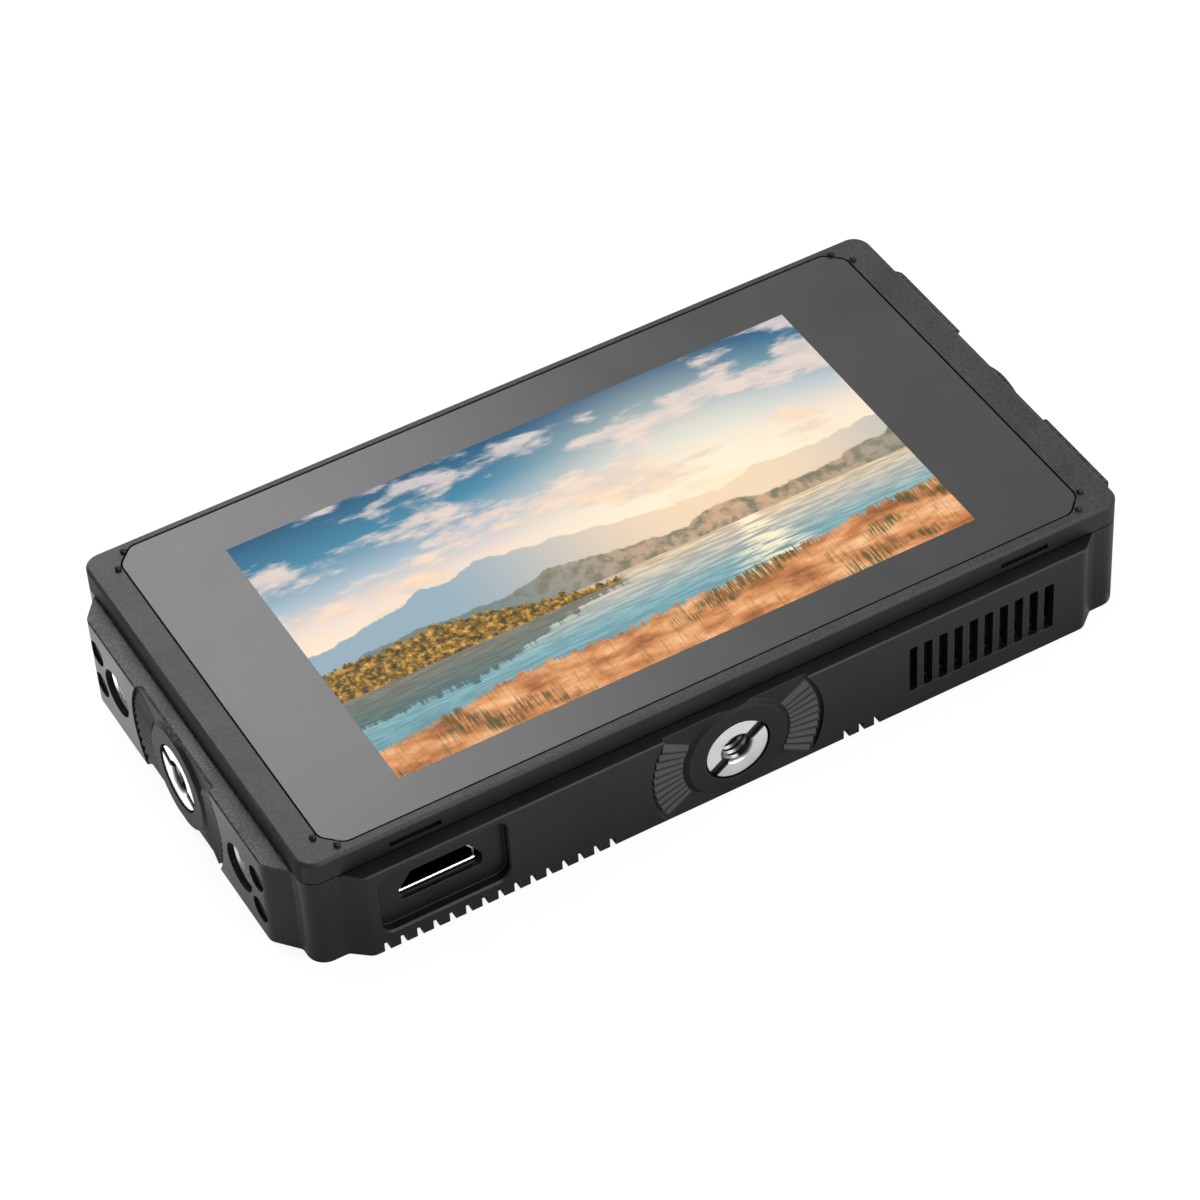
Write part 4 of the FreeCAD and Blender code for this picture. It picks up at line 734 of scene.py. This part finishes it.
FINISHES = {
    "front_frame": frame_plastic, "rear_shell": shell_plastic, "cover_glass": screen_border(),
    "corner_pips": rubber, "glass_tape": tape, "lcd_panel": lcd, "backlight_unit": backlight,
    "midframe": sheet, "midframe_screws": steel, "case_screws": black_steel, "hdmi_shell": port_steel,
    "hdmi_tongue": port_plastic, "main_board": board, "board_posts": brass, "board_screws": steel,
    "processor": chip, "thermal_pad": pad, "heat_block": aluminium, "lcd_ribbon": ribbon,
    "ribbon_socket": port_plastic, "fan_case": fan_plastic, "fan_lid": fan_plastic, "fan_bearing": brass,
    "fan_coil": copper, "fan_rotor": fan_plastic, "fan_screws": steel, "power_button": button,
    "switch_plunger": port_plastic, "power_switch": chip, "button_board": board, "status_led": backlight,
    "status_lens": lens, "battery_plate": fan_plastic, "battery_contacts": brass, "plate_screws": steel,
    "battery_latch": button, "latch_spring": steel,
    "bottom_mount_insert": turned_steel("bottom_turned_steel", "y", INSERT_MOUTHS[0]),
    "left_mount_insert": turned_steel("left_turned_steel", "x", INSERT_MOUTHS[1]),
    "right_mount_insert": turned_steel("right_turned_steel", "x", INSERT_MOUTHS[1]),
    "left_thread_blocks": thread_steel, "right_thread_blocks": thread_steel,
    "left_block_screws": black_steel, "right_block_screws": black_steel,
}

for name, finish in FINISHES.items():
    slots = nodes[name].material_slots
    for slot in slots:
        slot.material = finish
    if not slots:
        nodes[name].data.materials.append(finish)

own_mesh(nodes["latch_spring"])

lit_picture()
threads(thread_steel, shaded_steel)
socket_contacts(shaded_contact_gold)
socket_lip(port_steel)


# Floor, light and camera

def floor():
    mesh = bpy.data.meshes.new("floor")
    corners = [(x, y, FLOOR_LEVEL) for x, y in ((-1, -1), (1, -1), (1, 1), (-1, 1))]
    mesh.from_pydata([(x * FLOOR_HALF, y * FLOOR_HALF, z) for x, y, z in corners], [], [(0, 1, 2, 3)])
    piece = bpy.data.objects.new("floor", mesh)
    bpy.context.scene.collection.objects.link(piece)
    piece.visible_diffuse = False
    piece.visible_shadow = False
    mesh.materials.append(floor_material())


def floor_material():
    """White to the eye with a soft shadow, pale in reflections, and open from below and under the case."""
    material = bpy.data.materials.new("pale_floor")
    material.use_nodes = True
    tree = material.node_tree
    tree.nodes.clear()
    seen = floor_shader(tree, FLOOR_GLOW, FLOOR_GREY)
    mirrored = floor_shader(tree, mirrored_glow(tree), MIRRORED_GREY)
    path = tree.nodes.new("ShaderNodeLightPath")
    shown = mixed(tree, path.outputs["Is Camera Ray"], mirrored, seen)
    facing = tree.nodes.new("ShaderNodeNewGeometry")
    clear = tree.nodes.new("ShaderNodeBsdfTransparent").outputs[0]
    shown = mixed(tree, under_case(tree), shown, clear)
    output = tree.nodes.new("ShaderNodeOutputMaterial")
    tree.links.new(mixed(tree, facing.outputs["Backfacing"], shown, clear), output.inputs["Surface"])
    return material


def floor_place(tree):
    place = tree.nodes.new("ShaderNodeTexCoord")
    parts = tree.nodes.new("ShaderNodeSeparateXYZ")
    tree.links.new(place.outputs["Object"], parts.inputs[0])
    return parts.outputs["X"], parts.outputs["Y"]


def under_case(tree):
    """One on the part of the floor that the case covers, so that its back isn't black from below."""
    inside = [slope(tree, combined(tree, "ABSOLUTE", value, 0.0), limits, (0.0, 1.0))
              for value, limits in zip(floor_place(tree), CASE_FOOT)]
    return combined(tree, "MULTIPLY", *inside)


def mirrored_glow(tree):
    """The mirrored floor's light, stronger on the far left and away from the front edge."""
    x, y = floor_place(tree)
    left = slope(tree, x, LEFT_FLOOR, (0.0, 1.0))
    far = slope(tree, y, FAR_FLOOR, (0.0, LEFT_GLOW))
    front = slope(tree, y, FRONT_FLOOR, (MIRRORED_GLOW, MIRRORED_GLOW + FRONT_GLOW))
    return combined(tree, "ADD", combined(tree, "MULTIPLY", left, far), front)


def combined(tree, operation, first, second):
    """A math node on two values or sockets."""
    made = tree.nodes.new("ShaderNodeMath")
    made.operation = operation
    for socket, value in zip(made.inputs, (first, second)):
        if isinstance(value, bpy.types.NodeSocket):
            tree.links.new(value, socket)
        else:
            socket.default_value = value
    return made.outputs[0]


def slope(tree, value, given, wanted):
    """Smooth change from one pair of limits to another."""
    made = tree.nodes.new("ShaderNodeMapRange")
    made.interpolation_type = "SMOOTHSTEP"
    for name, number in zip(("From Min", "From Max", "To Min", "To Max"), (*given, *wanted)):
        made.inputs[name].default_value = number
    tree.links.new(value, made.inputs["Value"])
    return made.outputs["Result"]


def floor_shader(tree, glow, level):
    """Matt grey that also glows."""
    light = tree.nodes.new("ShaderNodeEmission")
    if isinstance(glow, bpy.types.NodeSocket):
        tree.links.new(glow, light.inputs["Strength"])
    else:
        light.inputs["Strength"].default_value = glow
    matt = tree.nodes.new("ShaderNodeBsdfDiffuse")
    matt.inputs["Color"].default_value = grey(level)
    both = tree.nodes.new("ShaderNodeAddShader")
    tree.links.new(light.outputs[0], both.inputs[0])
    tree.links.new(matt.outputs[0], both.inputs[1])
    return both.outputs[0]


def mixed(tree, factor, first, second):
    pick = tree.nodes.new("ShaderNodeMixShader")
    for socket, value in zip(pick.inputs, (factor, first, second)):
        tree.links.new(value, socket)
    return pick.outputs[0]


def world():
    """Soft studio surround: white where it is seen, dim overhead and left in reflections, plain as light."""
    scene = bpy.context.scene
    scene.world = bpy.data.worlds.new("studio")
    scene.world.use_nodes = True
    tree = scene.world.node_tree
    tree.nodes.clear()
    place = tree.nodes.new("ShaderNodeTexCoord")
    parts = tree.nodes.new("ShaderNodeSeparateXYZ")
    tree.links.new(place.outputs["Generated"], parts.inputs[0])
    height = parts.outputs["Z"]
    lit = background(tree, slope(tree, height, (-1.0, 1.0), (WORLD_LOW, WORLD_HIGH)))
    overhead = slope(tree, height, (ZENITH_FROM, ZENITH_TO), (1.0, ZENITH_GLOW))
    sideways = slope(tree, parts.outputs["X"], LEFT_WORLD, (LEFT_DIM, 1.0))
    shown = background(tree, combined(tree, "MULTIPLY", overhead, sideways))
    paths = tree.nodes.new("ShaderNodeLightPath")
    surround = mixed(tree, paths.outputs["Is Glossy Ray"], lit, shown)
    for name in ("Is Camera Ray", "Is Transmission Ray"):
        surround = mixed(tree, paths.outputs[name], surround, background(tree, None))
    output = tree.nodes.new("ShaderNodeOutputWorld")
    tree.links.new(surround, output.inputs["Surface"])


def background(tree, strength):
    made = tree.nodes.new("ShaderNodeBackground")
    made.inputs["Color"].default_value = grey(1.0)
    if strength is not None:
        tree.links.new(strength, made.inputs["Strength"])
    return made.outputs[0]


def area_light(name, place, target, size, power):
    data = bpy.data.lights.new(name, "AREA")
    data.shape = "RECTANGLE"
    data.size, data.size_y = size
    data.energy = power
    lamp = bpy.data.objects.new(name, data)
    bpy.context.scene.collection.objects.link(lamp)
    lamp.location = place
    aim = Vector(target) - Vector(place)
    lamp.rotation_euler = aim.to_track_quat("-Z", "Y").to_euler()


def lights():
    area_light("front_softbox", *FRONT_SOFTBOX)
    area_light("back_softbox", *BACK_SOFTBOX)


def camera():
    azimuth = math.radians(CAMERA_AZIMUTH)
    elevation = math.radians(CAMERA_ELEVATION)
    flat = math.cos(elevation)
    back = Vector((math.sin(azimuth) * flat, -math.cos(azimuth) * flat, math.sin(elevation)))
    ahead = -back
    level = ahead.cross(Vector((0, 0, 1))).normalized()
    down = ahead.cross(level)
    roll = math.radians(CAMERA_ROLL)
    right = level * math.cos(roll) + down * math.sin(roll)
    under = down * math.cos(roll) - level * math.sin(roll)
    shift = [offset / FOCAL_PIXELS * CAMERA_DISTANCE for offset in CENTRE_OFFSET]
    place = Vector((0, 0, FRONT_LEVEL)) - right * shift[0] - under * shift[1] - ahead * CAMERA_DISTANCE
    data = bpy.data.cameras.new("camera")
    data.sensor_width = SENSOR
    data.lens = FOCAL_PIXELS / IMAGE_SIZE * SENSOR
    data.clip_start, data.clip_end = CLIP
    eye = bpy.data.objects.new("camera", data)
    bpy.context.scene.collection.objects.link(eye)
    turn = Matrix((right, -under, back)).transposed().to_4x4()
    eye.matrix_world = Matrix.Translation(place) @ turn
    bpy.context.scene.camera = eye


floor()
world()
lights()
camera()
bpy.context.scene.view_settings.view_transform = "Standard"
